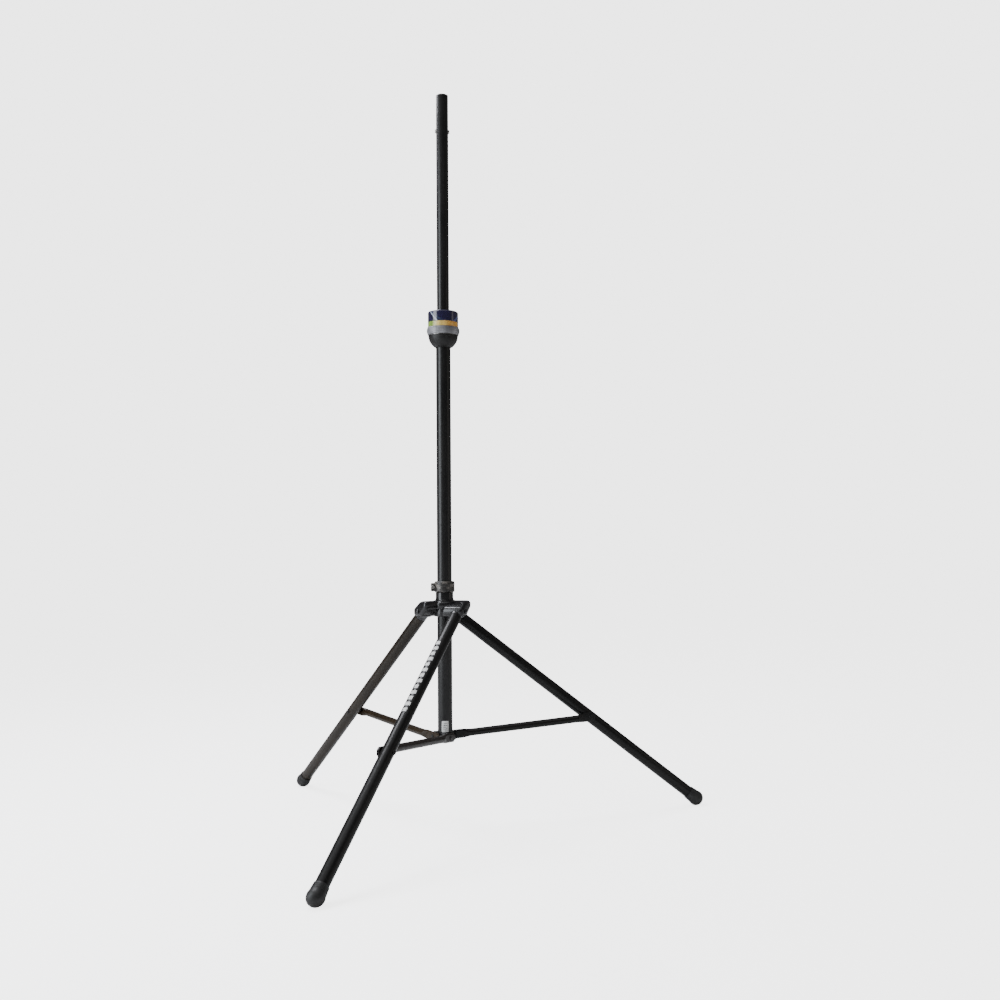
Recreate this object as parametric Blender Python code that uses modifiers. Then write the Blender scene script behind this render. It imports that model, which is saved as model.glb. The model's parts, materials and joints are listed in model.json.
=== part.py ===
"""Telescopic speaker tripod stand, modelled standing on the floor with its legs spread.

Units are metres, +Z is up.  The three legs are set off to one side of the pole axis, like the
blades of a pinwheel, so that each brace can fold up beside its leg.  In the notes below a leg's
own frame has X pointing outwards from the pole axis, Y along the hinge pins and Z up.
"""

import bmesh
import bpy
from math import atan2, cos, degrees, hypot, pi, radians, sin
from mathutils import Matrix, Vector

# Overall
STAND_HEIGHT = 2.1026
LEG_COUNT = 3
GAP = 0.0003                    # running or seating gap between neighbouring pieces

# Telescopic tubes
POLE_RADIUS = 0.0175            # the 35 mm pole that a speaker cabinet sits on
POLE_WALL = 0.0018
POLE_LENGTH = 1.05
TUBE_RADIUS = 0.0208
TUBE_WALL = 0.0020
TUBE_BOTTOM = 0.2620
TUBE_TOP = 1.3850
BUTTON_HEIGHT = 1.9963
BUTTON_RADIUS = 0.0058
BUTTON_PROUD = 0.0034

# Twist-lock collar, heights of its seams from the bottom up
BOWL_BOTTOM = 1.3631
BOWL_TOP = 1.3975
RING_TOP = 1.4208
BAND_TOP = 1.4354
CAP_TOP = 1.4670
CAP_RADIUS = 0.0434
RING_RADIUS = 0.0471
COLLET_FLOOR = 1.3900           # floor of the pocket in the bowl that the split jaw stands in
COLLET_TOP = 1.4470
COLLET_RADIUS = 0.0258
WASHER_HEIGHT = 0.0015

# Leg linkage, measured in the plane of each leg
HUB_PIVOT_REACH = 0.0220        # hinge pin's distance from the pole axis, along the leg
HUB_PIVOT_HEIGHT = 0.6053
LEG_OFFSET = 0.0530             # leg plane's sideways distance from the pole axis
LEG_RADIUS = 0.0171
LEG_WALL = 0.0018
FOOT_REACH = 0.7556             # centre of the foot's rounded end
FOOT_RADIUS = 0.0225
FOOT_HEIGHT = 0.0213            # a little less than the radius, which leaves a flat sole
BRACE_SHARE = 0.5552            # brace pin's place along the leg
BRACE_PIVOT_REACH = 0.0220
BRACE_PIVOT_HEIGHT = 0.2483
BRACE_OFFSET = 0.0247
BRACE_RADIUS = 0.0105
BRACE_WALL = 0.0015
BRACE_FLAT = 0.0034             # half thickness of the crushed ends
BRACE_FLAT_HEIGHT = 0.0130      # and half their height
BRACE_END = 0.0135              # how far the outer crushed end reaches past its pin
BRACE_TAIL = 0.0285             # and the inner one, which lies across the bottom casting

# Hub and foot castings
HUB_BOTTOM = 0.5905
BARREL_RADIUS = 0.0300
LINING_WALL = 0.0020            # thickness of the plastic lining that slides on the tube
ARM_NEAR = 0.0120               # the arm's span along the hinge pin
ARM_FAR = 0.0768
ARM_TAIL = -0.0180              # and its span outwards along the leg
ARM_TIP = 0.0480
SLOT_NEAR = 0.0355              # inner faces of the arm's two cheeks
SLOT_FAR = 0.0705
CHEEK_NEAR = 0.0278             # where the pin's blind hole ends
ROOF_TOP = 0.6355
NECK_TOP = 0.6584
CLAMP_TOP = 0.6899
CASTING_FLAT = 0.0208           # distance of the bottom casting's three flats from the axis
CASTING_RADIUS = 0.0360
CASTING_BOTTOM = 0.2360

# Fasteners
CLAMP_SCREW_REACH = -0.0335
CLAMP_SCREW_RADIUS = 0.0026
PIVOT_BOLT_RADIUS = 0.0040
BRACE_BOLT_RADIUS = 0.0033
HOLE_CLEARANCE = 0.0005

# Sticker on the tube
LABEL_BOTTOM = 0.2628
LABEL_TOP = 0.2943
LABEL_THICKNESS = 0.0004

# Roundness
TUBE_SIDES = 28
COLLAR_SIDES = 32
BOLT_SIDES = 12
BRACE_SIDES = 16
FOOT_SIDES = 22
HEAD_SIDES = 22

LEG_LENGTH = hypot(FOOT_REACH - HUB_PIVOT_REACH, HUB_PIVOT_HEIGHT - FOOT_HEIGHT)
LEG_ANGLE = atan2(FOOT_REACH - HUB_PIVOT_REACH, HUB_PIVOT_HEIGHT - FOOT_HEIGHT)
BRACE_PIN_ON_LEG = BRACE_SHARE * LEG_LENGTH
BRACE_RUN = HUB_PIVOT_REACH + BRACE_PIN_ON_LEG * sin(LEG_ANGLE) - BRACE_PIVOT_REACH
BRACE_RISE = HUB_PIVOT_HEIGHT - BRACE_PIN_ON_LEG * cos(LEG_ANGLE) - BRACE_PIVOT_HEIGHT
BRACE_LENGTH = hypot(BRACE_RUN, BRACE_RISE)
BRACE_ANGLE = atan2(BRACE_RISE, BRACE_RUN)


# ---------------------------------------------------------------- scene and materials

def clear_scene():
    for obj in list(bpy.data.objects):
        bpy.data.objects.remove(obj, do_unlink=True)


def make_collection(name):
    collection = bpy.data.collections.new(name)
    bpy.context.scene.collection.children.link(collection)
    return collection


def make_material(name, color, roughness, metallic=0.0):
    material = bpy.data.materials.new(name)
    material.use_nodes = True
    shader = material.node_tree.nodes["Principled BSDF"]
    shader.inputs["Base Color"].default_value = (*color, 1.0)
    shader.inputs["Roughness"].default_value = roughness
    shader.inputs["Metallic"].default_value = metallic
    return material


def make_frame(collection, name, matrix, parent=None):
    """An empty that carries the pieces which move together."""
    frame = bpy.data.objects.new(name, None)
    frame.empty_display_size = 0.05
    collection.objects.link(frame)
    frame.parent = parent
    frame.matrix_local = matrix
    return frame


# ---------------------------------------------------------------- basic shapes

def object_from_bmesh(bm):
    mesh = bpy.data.meshes.new("shape")
    bm.to_mesh(mesh)
    bm.free()
    obj = bpy.data.objects.new("shape", mesh)
    bpy.context.scene.collection.objects.link(obj)
    return obj


def apply_modifiers(obj):
    graph = bpy.context.evaluated_depsgraph_get()
    mesh = bpy.data.meshes.new_from_object(obj.evaluated_get(graph))
    old_mesh = obj.data
    obj.modifiers.clear()
    obj.data = mesh
    bpy.data.meshes.remove(old_mesh)


def boolean(obj, other, operation):
    """Join the other shape to this one, or cut it away, and use the other shape up."""
    modifier = obj.modifiers.new(operation.title(), "BOOLEAN")
    modifier.operation = operation
    modifier.solver = "EXACT"
    modifier.object = other
    apply_modifiers(obj)
    bpy.data.objects.remove(other, do_unlink=True)
    return obj


def bevel(obj, width, segments=2, angle=30):
    modifier = obj.modifiers.new("Bevel", "BEVEL")
    modifier.width = width
    modifier.segments = segments
    modifier.limit_method = "ANGLE"
    modifier.angle_limit = radians(angle)
    apply_modifiers(obj)
    return obj


def box(low, high):
    low, high = Vector(low), Vector(high)
    bm = bmesh.new()
    bmesh.ops.create_cube(bm, size=1.0)
    bmesh.ops.scale(bm, vec=high - low, verts=bm.verts)
    bmesh.ops.translate(bm, vec=(low + high) / 2, verts=bm.verts)
    return object_from_bmesh(bm)


def prism(outline, near, far):
    """An (x, z) outline extruded along Y."""
    bm = bmesh.new()
    face = bm.faces.new([bm.verts.new((x, near, z)) for x, z in outline])
    swept = bmesh.ops.extrude_face_region(bm, geom=[face])["geom"]
    moved = [item for item in swept if isinstance(item, bmesh.types.BMVert)]
    bmesh.ops.translate(bm, vec=(0, far - near, 0), verts=moved)
    bmesh.ops.recalc_face_normals(bm, faces=bm.faces)
    return object_from_bmesh(bm)


def cylinder(radius, start, end, sides=TUBE_SIDES, top_radius=None):
    """A round bar, or a cone, from one point to another."""
    start, end = Vector(start), Vector(end)
    run = end - start
    bm = bmesh.new()
    bmesh.ops.create_cone(
        bm, cap_ends=True, segments=sides, depth=run.length,
        radius1=radius, radius2=radius if top_radius is None else top_radius,
        matrix=Matrix.Translation((start + end) / 2) @ run.to_track_quat("Z", "Y").to_matrix().to_4x4())
    return object_from_bmesh(bm)


def turned(profile, sides=TUBE_SIDES, closed=True):
    """Turn a (radius, height) outline about Z; it runs down its outer side."""
    mesh = bpy.data.meshes.new("profile")
    edges = [(i, i + 1) for i in range(len(profile) - 1)]
    if closed:
        edges.append((len(profile) - 1, 0))
    mesh.from_pydata([(radius, 0, height) for radius, height in profile], edges, [])
    obj = bpy.data.objects.new("profile", mesh)
    bpy.context.scene.collection.objects.link(obj)
    screw = obj.modifiers.new("Screw", "SCREW")
    screw.steps = sides
    screw.render_steps = sides
    screw.use_merge_vertices = True
    screw.merge_threshold = 0.00002
    apply_modifiers(obj)
    return obj


def sleeve(inner, outer, bottom, top, sides=TUBE_SIDES):
    return turned([(outer, top), (outer, bottom), (inner, bottom), (inner, top)], sides)


def arc_points(radius, start, end, count, centre=(0.0, 0.0)):
    """Points on an arc in the turning plane, angles in degrees from the outward direction."""
    angles = [radians(start + (end - start) * i / count) for i in range(count + 1)]
    return [(centre[0] + radius * cos(a), centre[1] + radius * sin(a)) for a in angles]


def bolt(head_radius, head_height, shank_radius, seat, tip, head_sides=6):
    """A bolt along -Y: its head stands proud of the seat and its shank reaches in to the tip."""
    shank = cylinder(shank_radius, (0, tip, 0), (0, seat + head_height / 2, 0), BOLT_SIDES)
    head = cylinder(head_radius, (0, seat + GAP, 0), (0, seat + GAP + head_height, 0), head_sides)
    return boolean(head, shank, "UNION")


# ---------------------------------------------------------------- placing pieces

def place(obj, name, collection, material, frame, location=(0, 0, 0)):
    """Name a finished shape, give it its material and hang it on its frame."""
    obj.name = name
    obj.data.name = name
    obj.data.materials.clear()
    obj.data.materials.append(material)
    obj.data.shade_smooth()
    obj.data.set_sharp_from_angle(angle=radians(32))
    bpy.context.scene.collection.objects.unlink(obj)
    collection.objects.link(obj)
    obj.parent = frame
    obj.location = location
    return obj


def place_copies(obj, name, collection, material, frames):
    """One piece on each of several frames, all sharing one mesh."""
    place(obj, name + "_1", collection, material, frames[0])
    for number, frame in enumerate(frames[1:], start=2):
        copy = bpy.data.objects.new("%s_%d" % (name, number), obj.data)
        collection.objects.link(copy)
        copy.parent = frame


# ---------------------------------------------------------------- fixed tube and bottom casting

def outer_tube():
    return sleeve(TUBE_RADIUS - TUBE_WALL, TUBE_RADIUS, TUBE_BOTTOM, TUBE_TOP)


def bottom_casting():
    """A three-sided block under the tube with a spigot inside it; the braces bolt to its flats."""
    block_top = TUBE_BOTTOM - GAP
    block = cylinder(2 * CASTING_FLAT, (0, 0, CASTING_BOTTOM), (0, 0, block_top), sides=3)
    block.rotation_euler.z = 2 * pi / LEG_COUNT
    rounded = cylinder(CASTING_RADIUS, (0, 0, CASTING_BOTTOM), (0, 0, block_top))
    boolean(rounded, block, "INTERSECT")
    bevel(rounded, 0.0015)
    spigot_radius = TUBE_RADIUS - TUBE_WALL - GAP
    spigot = cylinder(spigot_radius, (0, 0, CASTING_BOTTOM + 0.005), (0, 0, TUBE_BOTTOM + 0.030))
    casting = boolean(rounded, spigot, "UNION")
    for turn in range(LEG_COUNT):
        hole = cylinder(BRACE_BOLT_RADIUS + HOLE_CLEARANCE,
                        (BRACE_PIVOT_REACH, 0.0075, BRACE_PIVOT_HEIGHT),
                        (BRACE_PIVOT_REACH, 0.0300, BRACE_PIVOT_HEIGHT), BOLT_SIDES)
        hole.rotation_euler.z = 2 * pi * turn / LEG_COUNT
        boolean(casting, hole, "DIFFERENCE")
    return casting


def tube_bumper():
    bottom = TUBE_BOTTOM + 0.030 + GAP
    return cylinder(0.0175, (0, 0, bottom), (0, 0, bottom + 0.012))


def tube_label():
    """A small curved sticker on the front of the tube."""
    half_width = radians(32)
    steps = 10
    bm = bmesh.new()
    rows = []
    for height in (LABEL_BOTTOM, LABEL_TOP):
        angles = [-half_width + 2 * half_width * i / steps for i in range(steps + 1)]
        rows.append([bm.verts.new((TUBE_RADIUS * sin(a), -TUBE_RADIUS * cos(a), height)) for a in angles])
    for i in range(steps):
        bm.faces.new((rows[0][i], rows[0][i + 1], rows[1][i + 1], rows[1][i]))
    label = object_from_bmesh(bm)
    solidify = label.modifiers.new("Solidify", "SOLIDIFY")
    solidify.thickness = LABEL_THICKNESS
    solidify.offset = 1.0 + 2 * GAP / solidify.thickness
    apply_modifiers(label)
    return label


# ---------------------------------------------------------------- twist-lock collar

def collar_housing():
    """The black bowl that grips the top of the tube and carries the lock."""
    bore = TUBE_RADIUS + GAP
    depth = BOWL_TOP - BOWL_BOTTOM
    swell = [(0.0427, 1.0), (0.0415, 0.85), (0.0390, 0.67), (0.0355, 0.47), (0.0312, 0.27), (0.0235, 0.0)]
    outer = [(radius, BOWL_BOTTOM + share * depth) for radius, share in swell]
    pole_hole, pocket = POLE_RADIUS + 2 * GAP, COLLET_RADIUS + 0.0004
    inner = [(bore, BOWL_BOTTOM), (bore, TUBE_TOP + GAP), (pole_hole, TUBE_TOP + GAP),
             (pole_hole, COLLET_FLOOR), (pocket, COLLET_FLOOR), (pocket, BOWL_TOP)]
    return turned(outer + inner, COLLAR_SIDES)


def collar_collet():
    """The split jaw that squeezes the pole when the ring is turned."""
    foot_height, grip = COLLET_FLOOR + GAP, POLE_RADIUS + GAP
    collet = turned([(COLLET_RADIUS - 0.0008, COLLET_TOP), (COLLET_RADIUS, foot_height + 0.0097),
                     (COLLET_RADIUS, foot_height), (grip, foot_height), (grip, COLLET_TOP)], COLLAR_SIDES)
    for turn in range(LEG_COUNT):
        slit = box((0.0100, -0.0010, COLLET_FLOOR + 0.0110), (0.0300, 0.0010, COLLET_TOP + 0.0030))
        slit.rotation_euler.z = radians(60) + 2 * pi * turn / LEG_COUNT
        boolean(collet, slit, "DIFFERENCE")
    return collet


def collar_washer():
    return sleeve(0.0270, 0.0405, BOWL_TOP + GAP, BOWL_TOP + WASHER_HEIGHT, COLLAR_SIDES)


def collar_ring():
    low = BOWL_TOP + WASHER_HEIGHT + GAP
    return turned([(0.0448, RING_TOP), (0.0466, RING_TOP - 0.0040), (RING_RADIUS, RING_TOP - 0.0090),
                   (0.0462, RING_TOP - 0.0150), (0.0440, low), (0.0300, low), (0.0300, RING_TOP)],
                  COLLAR_SIDES)


def collar_band():
    return sleeve(0.0330, CAP_RADIUS, RING_TOP + GAP, BAND_TOP - GAP, COLLAR_SIDES)


def collar_cap():
    """The printed cap over the lock, rounded at its top edge."""
    round_radius = 0.0050
    wall = 0.0032
    hole = POLE_RADIUS + 2 * GAP
    corner = (CAP_RADIUS - round_radius, CAP_TOP - round_radius)
    outer = list(reversed(arc_points(round_radius, 0, 90, 4, corner)))
    inner = [(CAP_RADIUS, BAND_TOP), (CAP_RADIUS - wall, BAND_TOP), (CAP_RADIUS - wall, CAP_TOP - 2 * wall),
             (hole, CAP_TOP - 2 * wall), (hole, CAP_TOP)]
    return turned(outer + inner, COLLAR_SIDES)


# ---------------------------------------------------------------- sliding pole

def inner_pole():
    pole = sleeve(POLE_RADIUS - POLE_WALL, POLE_RADIUS, STAND_HEIGHT - POLE_LENGTH, STAND_HEIGHT)
    hole = cylinder(BUTTON_RADIUS + HOLE_CLEARANCE, (-0.03, 0, BUTTON_HEIGHT), (0.03, 0, BUTTON_HEIGHT),
                    BOLT_SIDES)
    return boolean(pole, hole, "DIFFERENCE")


def pole_end_cap():
    radius = POLE_RADIUS - POLE_WALL - GAP
    return turned([(0, STAND_HEIGHT), (radius - 0.0010, STAND_HEIGHT), (radius, STAND_HEIGHT - 0.0010),
                   (radius, STAND_HEIGHT - 0.0300), (0, STAND_HEIGHT - 0.0300)], closed=False)


def pole_foot_bushing():
    bottom = STAND_HEIGHT - POLE_LENGTH
    return sleeve(POLE_RADIUS + GAP, TUBE_RADIUS - TUBE_WALL - GAP, bottom + 0.004, bottom + 0.050)


def spring_button():
    """A domed button along +X with a flange that keeps it inside the pole."""
    proud = POLE_RADIUS + BUTTON_PROUD
    flange = cylinder(BUTTON_RADIUS + 0.0015, (0.0122, 0, 0), (0.0132, 0, 0), BOLT_SIDES)
    body = cylinder(BUTTON_RADIUS, (0.0127, 0, 0), (proud, 0, 0), BOLT_SIDES)
    bevel(body, 0.0014)
    return boolean(flange, body, "UNION")


def button_spring():
    """A leaf spring bent to a U inside the pole, behind the two buttons."""
    bend_radius, width, thickness = 0.0080, 0.0070, 0.0008
    top, bend_height = BUTTON_HEIGHT + 0.0060, BUTTON_HEIGHT - 0.0500
    path = [(-bend_radius, top)]
    path += [(bend_radius * cos(a), bend_height + bend_radius * sin(a))
             for a in [pi + pi * i / 8 for i in range(9)]]
    path.append((bend_radius, top))
    bm = bmesh.new()
    rows = [[bm.verts.new((x, y, z)) for x, z in path] for y in (-width / 2, width / 2)]
    for i in range(len(path) - 1):
        bm.faces.new((rows[0][i], rows[0][i + 1], rows[1][i + 1], rows[1][i]))
    spring = object_from_bmesh(bm)
    solidify = spring.modifiers.new("Solidify", "SOLIDIFY")
    solidify.thickness = thickness
    solidify.offset = 0.0
    apply_modifiers(spring)
    return spring


# ---------------------------------------------------------------- sliding hub

def hub_arm():
    """One lobe of the hub, leaning the way its leg does when the stand is open."""
    outline = [(ARM_TAIL, ROOF_TOP), (0.0140, ROOF_TOP), (ARM_TIP, HUB_PIVOT_HEIGHT + 0.0080),
               (ARM_TIP - 0.0030, HUB_BOTTOM), (0.0110, HUB_BOTTOM), (ARM_TAIL, ROOF_TOP - 0.0200)]
    return bevel(prism(outline, ARM_NEAR, ARM_FAR), 0.0080, 3)


def hub_slot():
    """The room the leg's head and tube sweep through, from spread to folded."""
    reach = LEG_RADIUS + 2 * GAP
    crown = arc_points(reach, degrees(LEG_ANGLE), 180, 10, (HUB_PIVOT_REACH, HUB_PIVOT_HEIGHT))
    far = (crown[0][0] + 0.1 * sin(LEG_ANGLE), crown[0][1] - 0.1 * cos(LEG_ANGLE))
    below = HUB_BOTTOM - 0.0800
    return prism([(far[0], below), far] + crown + [(HUB_PIVOT_REACH - reach, below)], SLOT_NEAR, SLOT_FAR)


def hub_casting():
    hub = cylinder(BARREL_RADIUS, (0, 0, HUB_BOTTOM - 2 * GAP), (0, 0, ROOF_TOP + 2 * GAP))
    for turn in range(LEG_COUNT):
        arm = hub_arm()
        arm.rotation_euler.z = 2 * pi * turn / LEG_COUNT
        boolean(hub, arm, "UNION")
    boolean(hub, cylinder(0.0248, (0, 0, HUB_BOTTOM + 0.0080), (0, 0, NECK_TOP)), "UNION")
    bore = cylinder(TUBE_RADIUS + LINING_WALL, (0, 0, HUB_BOTTOM - 0.01), (0, 0, NECK_TOP + 0.01))
    boolean(hub, bore, "DIFFERENCE")
    for turn in range(LEG_COUNT):
        pin_hole = cylinder(PIVOT_BOLT_RADIUS + HOLE_CLEARANCE,
                            (HUB_PIVOT_REACH, CHEEK_NEAR, HUB_PIVOT_HEIGHT),
                            (HUB_PIVOT_REACH, ARM_FAR + 0.01, HUB_PIVOT_HEIGHT), BOLT_SIDES)
        for cutter in (hub_slot(), pin_hole):
            cutter.rotation_euler.z = 2 * pi * turn / LEG_COUNT
            boolean(hub, cutter, "DIFFERENCE")
    return hub


def hub_bushing():
    return sleeve(TUBE_RADIUS + GAP, TUBE_RADIUS + LINING_WALL - GAP, HUB_BOTTOM + 0.0020, CLAMP_TOP - 0.0010)


def clamp_band():
    """A split band round the top of the hub's lining, with two ears that its screw pulls together."""
    band = turned([(0.0262, CLAMP_TOP), (0.0290, CLAMP_TOP - 0.0050), (0.0290, NECK_TOP + 0.0035),
                   (0.0272, NECK_TOP + GAP), (TUBE_RADIUS + LINING_WALL, NECK_TOP + GAP),
                   (TUBE_RADIUS + LINING_WALL, CLAMP_TOP)])
    ears = bevel(box((-0.0388, -0.0085, NECK_TOP + 0.0030), (-0.0258, 0.0085, CLAMP_TOP - 0.0045)), 0.0025)
    boolean(band, ears, "UNION")
    split = box((-0.0500, -0.0012, NECK_TOP - 0.01), (-0.0100, 0.0012, CLAMP_TOP + 0.01))
    boolean(band, split, "DIFFERENCE")
    screw_hole = cylinder(CLAMP_SCREW_RADIUS + 0.0004, (CLAMP_SCREW_REACH, -0.02, 0),
                          (CLAMP_SCREW_REACH, 0.02, 0), BOLT_SIDES)
    screw_hole.location.z = (NECK_TOP + CLAMP_TOP) / 2
    return boolean(band, screw_hole, "DIFFERENCE")


# ---------------------------------------------------------------- legs and feet, hanging down from the pin

def leg_tube():
    tube = sleeve(LEG_RADIUS - LEG_WALL, LEG_RADIUS, -(LEG_LENGTH - 0.0030), -0.0240, TUBE_SIDES)
    hole = cylinder(BRACE_BOLT_RADIUS + HOLE_CLEARANCE, (0, -0.03, 0), (0, 0.03, 0), BOLT_SIDES)
    hole.location.z = -BRACE_PIN_ON_LEG
    return boolean(tube, hole, "DIFFERENCE")


def leg_head():
    """The cast end of the leg: an eye round the hinge pin and a plug inside the tube."""
    head_radius = LEG_RADIUS - 0.0001
    head = cylinder(head_radius, (0, -head_radius, 0), (0, head_radius, 0), HEAD_SIDES)
    boolean(head, cylinder(head_radius, (0, 0, 0), (0, 0, -0.0237), HEAD_SIDES), "UNION")
    plug = cylinder(LEG_RADIUS - LEG_WALL - GAP, (0, 0, -0.0200), (0, 0, -0.0700), HEAD_SIDES)
    boolean(head, plug, "UNION")
    hole = cylinder(PIVOT_BOLT_RADIUS + HOLE_CLEARANCE, (0, -0.03, 0), (0, 0.03, 0), BOLT_SIDES)
    return boolean(head, hole, "DIFFERENCE")


def foot(leg_matrix):
    """A rubber bulb over the end of the leg, cut flat where it stands on the floor."""
    top, socket = -(LEG_LENGTH - 0.0300), -(LEG_LENGTH - 0.0027)
    bulb = [(radius, height) for radius, height in
            arc_points(FOOT_RADIUS, 20, -90, 6, (0.0, -LEG_LENGTH))]
    outer = [(0.0190, top), (0.0197, top - 0.0060), (0.0203, top - 0.0130)] + bulb[:-1] + [(0.0, bulb[-1][1])]
    inner = [(0.0, socket), (LEG_RADIUS + GAP, socket), (LEG_RADIUS + GAP, top)]
    rubber = turned(inner + outer, FOOT_SIDES, closed=False)
    floor = box((FOOT_REACH - 0.1, -0.1, -0.1), (FOOT_REACH + 0.1, 0.1, 0.0))
    floor.matrix_world = leg_matrix.inverted()
    return boolean(rubber, floor, "DIFFERENCE")


def leg_pivot_bolt():
    return bolt(0.0075, 0.0050, PIVOT_BOLT_RADIUS, ARM_FAR - LEG_OFFSET, CHEEK_NEAR + GAP - LEG_OFFSET)


def brace_nut():
    """The domed end of the brace's pin, on the outer side of the leg."""
    seat = LEG_RADIUS
    dome = cylinder(0.0062, (0, seat + GAP, 0), (0, seat + 0.0045, 0), 16, top_radius=0.0040)
    shank = cylinder(BRACE_BOLT_RADIUS, (0, -LEG_RADIUS + GAP, 0), (0, seat + 0.0020, 0), BOLT_SIDES)
    return boolean(dome, shank, "UNION")


# ---------------------------------------------------------------- braces, along +X from the inner pin

def brace_section(place_x, half_height, half_width, shift, squareness, inset):
    """A ring of points round the brace: a circle, or a rounded rectangle where it is flattened."""
    points = []
    for i in range(BRACE_SIDES):
        angle = 2 * pi * i / BRACE_SIDES
        y, z = cos(angle), sin(angle)
        grow = (abs(y) ** squareness + abs(z) ** squareness) ** (-1 / squareness)
        points.append((place_x, shift + (half_width - inset) * y * grow, (half_height - inset) * z * grow))
    return points


def brace():
    """A tube crushed flat at both ends; the outer end is crushed towards the leg."""
    clipped, flat, tall, end = 0.0075, BRACE_FLAT, BRACE_FLAT_HEIGHT, BRACE_END
    lean = LEG_OFFSET - LEG_RADIUS - 2 * GAP - flat - BRACE_OFFSET
    stations = [(-BRACE_TAIL, clipped, flat, 0.0, 5), (-BRACE_TAIL + end / 2, tall, flat, 0.0, 5),
                (0.0250, tall, flat, 0.0, 5), (0.0550, BRACE_RADIUS, BRACE_RADIUS, 0.0, 2),
                (BRACE_LENGTH - 0.0420, BRACE_RADIUS, BRACE_RADIUS, 0.0, 2),
                (BRACE_LENGTH - 0.0165, tall, flat, lean, 5), (BRACE_LENGTH + end / 2, tall, flat, lean, 5),
                (BRACE_LENGTH + end, clipped, flat, lean, 5)]
    bm = bmesh.new()
    outer = [[bm.verts.new(p) for p in brace_section(*s, 0.0)] for s in stations]
    inner = [[bm.verts.new(p) for p in brace_section(*s, BRACE_WALL)] for s in stations]
    loops = outer + inner[::-1]
    for ring, after in zip(loops, loops[1:] + loops[:1]):
        for i in range(len(ring)):
            j = (i + 1) % len(ring)
            bm.faces.new((ring[i], ring[j], after[j], after[i]))
    bmesh.ops.recalc_face_normals(bm, faces=bm.faces)
    tube = object_from_bmesh(bm)
    for x in (0.0, BRACE_LENGTH):
        hole = cylinder(BRACE_BOLT_RADIUS + HOLE_CLEARANCE, (x, -0.02, 0), (x, 0.02, 0), BOLT_SIDES)
        boolean(tube, hole, "DIFFERENCE")
    return tube


def brace_inner_bolt():
    """A low rivet head, which the foot just clears when the stand is folded."""
    return bolt(0.0060, 0.0013, BRACE_BOLT_RADIUS, BRACE_FLAT + GAP, 0.0080 - BRACE_OFFSET, BOLT_SIDES)


def brace_outer_bolt():
    """The near half of the brace's outer pin: head on the inner side, tip just short of the leg."""
    tip = LEG_OFFSET - LEG_RADIUS - GAP - BRACE_OFFSET
    seat = tip - 2 * BRACE_FLAT - 2 * GAP
    head = cylinder(0.0060, (BRACE_LENGTH, seat - 0.0042, 0), (BRACE_LENGTH, seat, 0), 6)
    shank = cylinder(BRACE_BOLT_RADIUS, (BRACE_LENGTH, seat - 0.0020, 0), (BRACE_LENGTH, tip, 0), BOLT_SIDES)
    return boolean(head, shank, "UNION")


# ---------------------------------------------------------------- assembly

def centre_over_base(root, parts):
    """Move the stand so that the middle of its footprint is over the origin."""
    bpy.context.view_layer.update()
    corners = [obj.matrix_world @ vertex.co for obj in parts for vertex in obj.data.vertices]
    for axis in (0, 1):
        values = [corner[axis] for corner in corners]
        root.location[axis] = -(min(values) + max(values)) / 2
    bpy.context.view_layer.update()


def brace_ends(stand, legs):
    """Frames at the brace pins on the legs."""
    down_leg = Matrix.Translation((0, 0, -BRACE_PIN_ON_LEG))
    return [make_frame(stand, "brace_end_%d" % (k + 1), down_leg, leg) for k, leg in enumerate(legs)]


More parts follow.
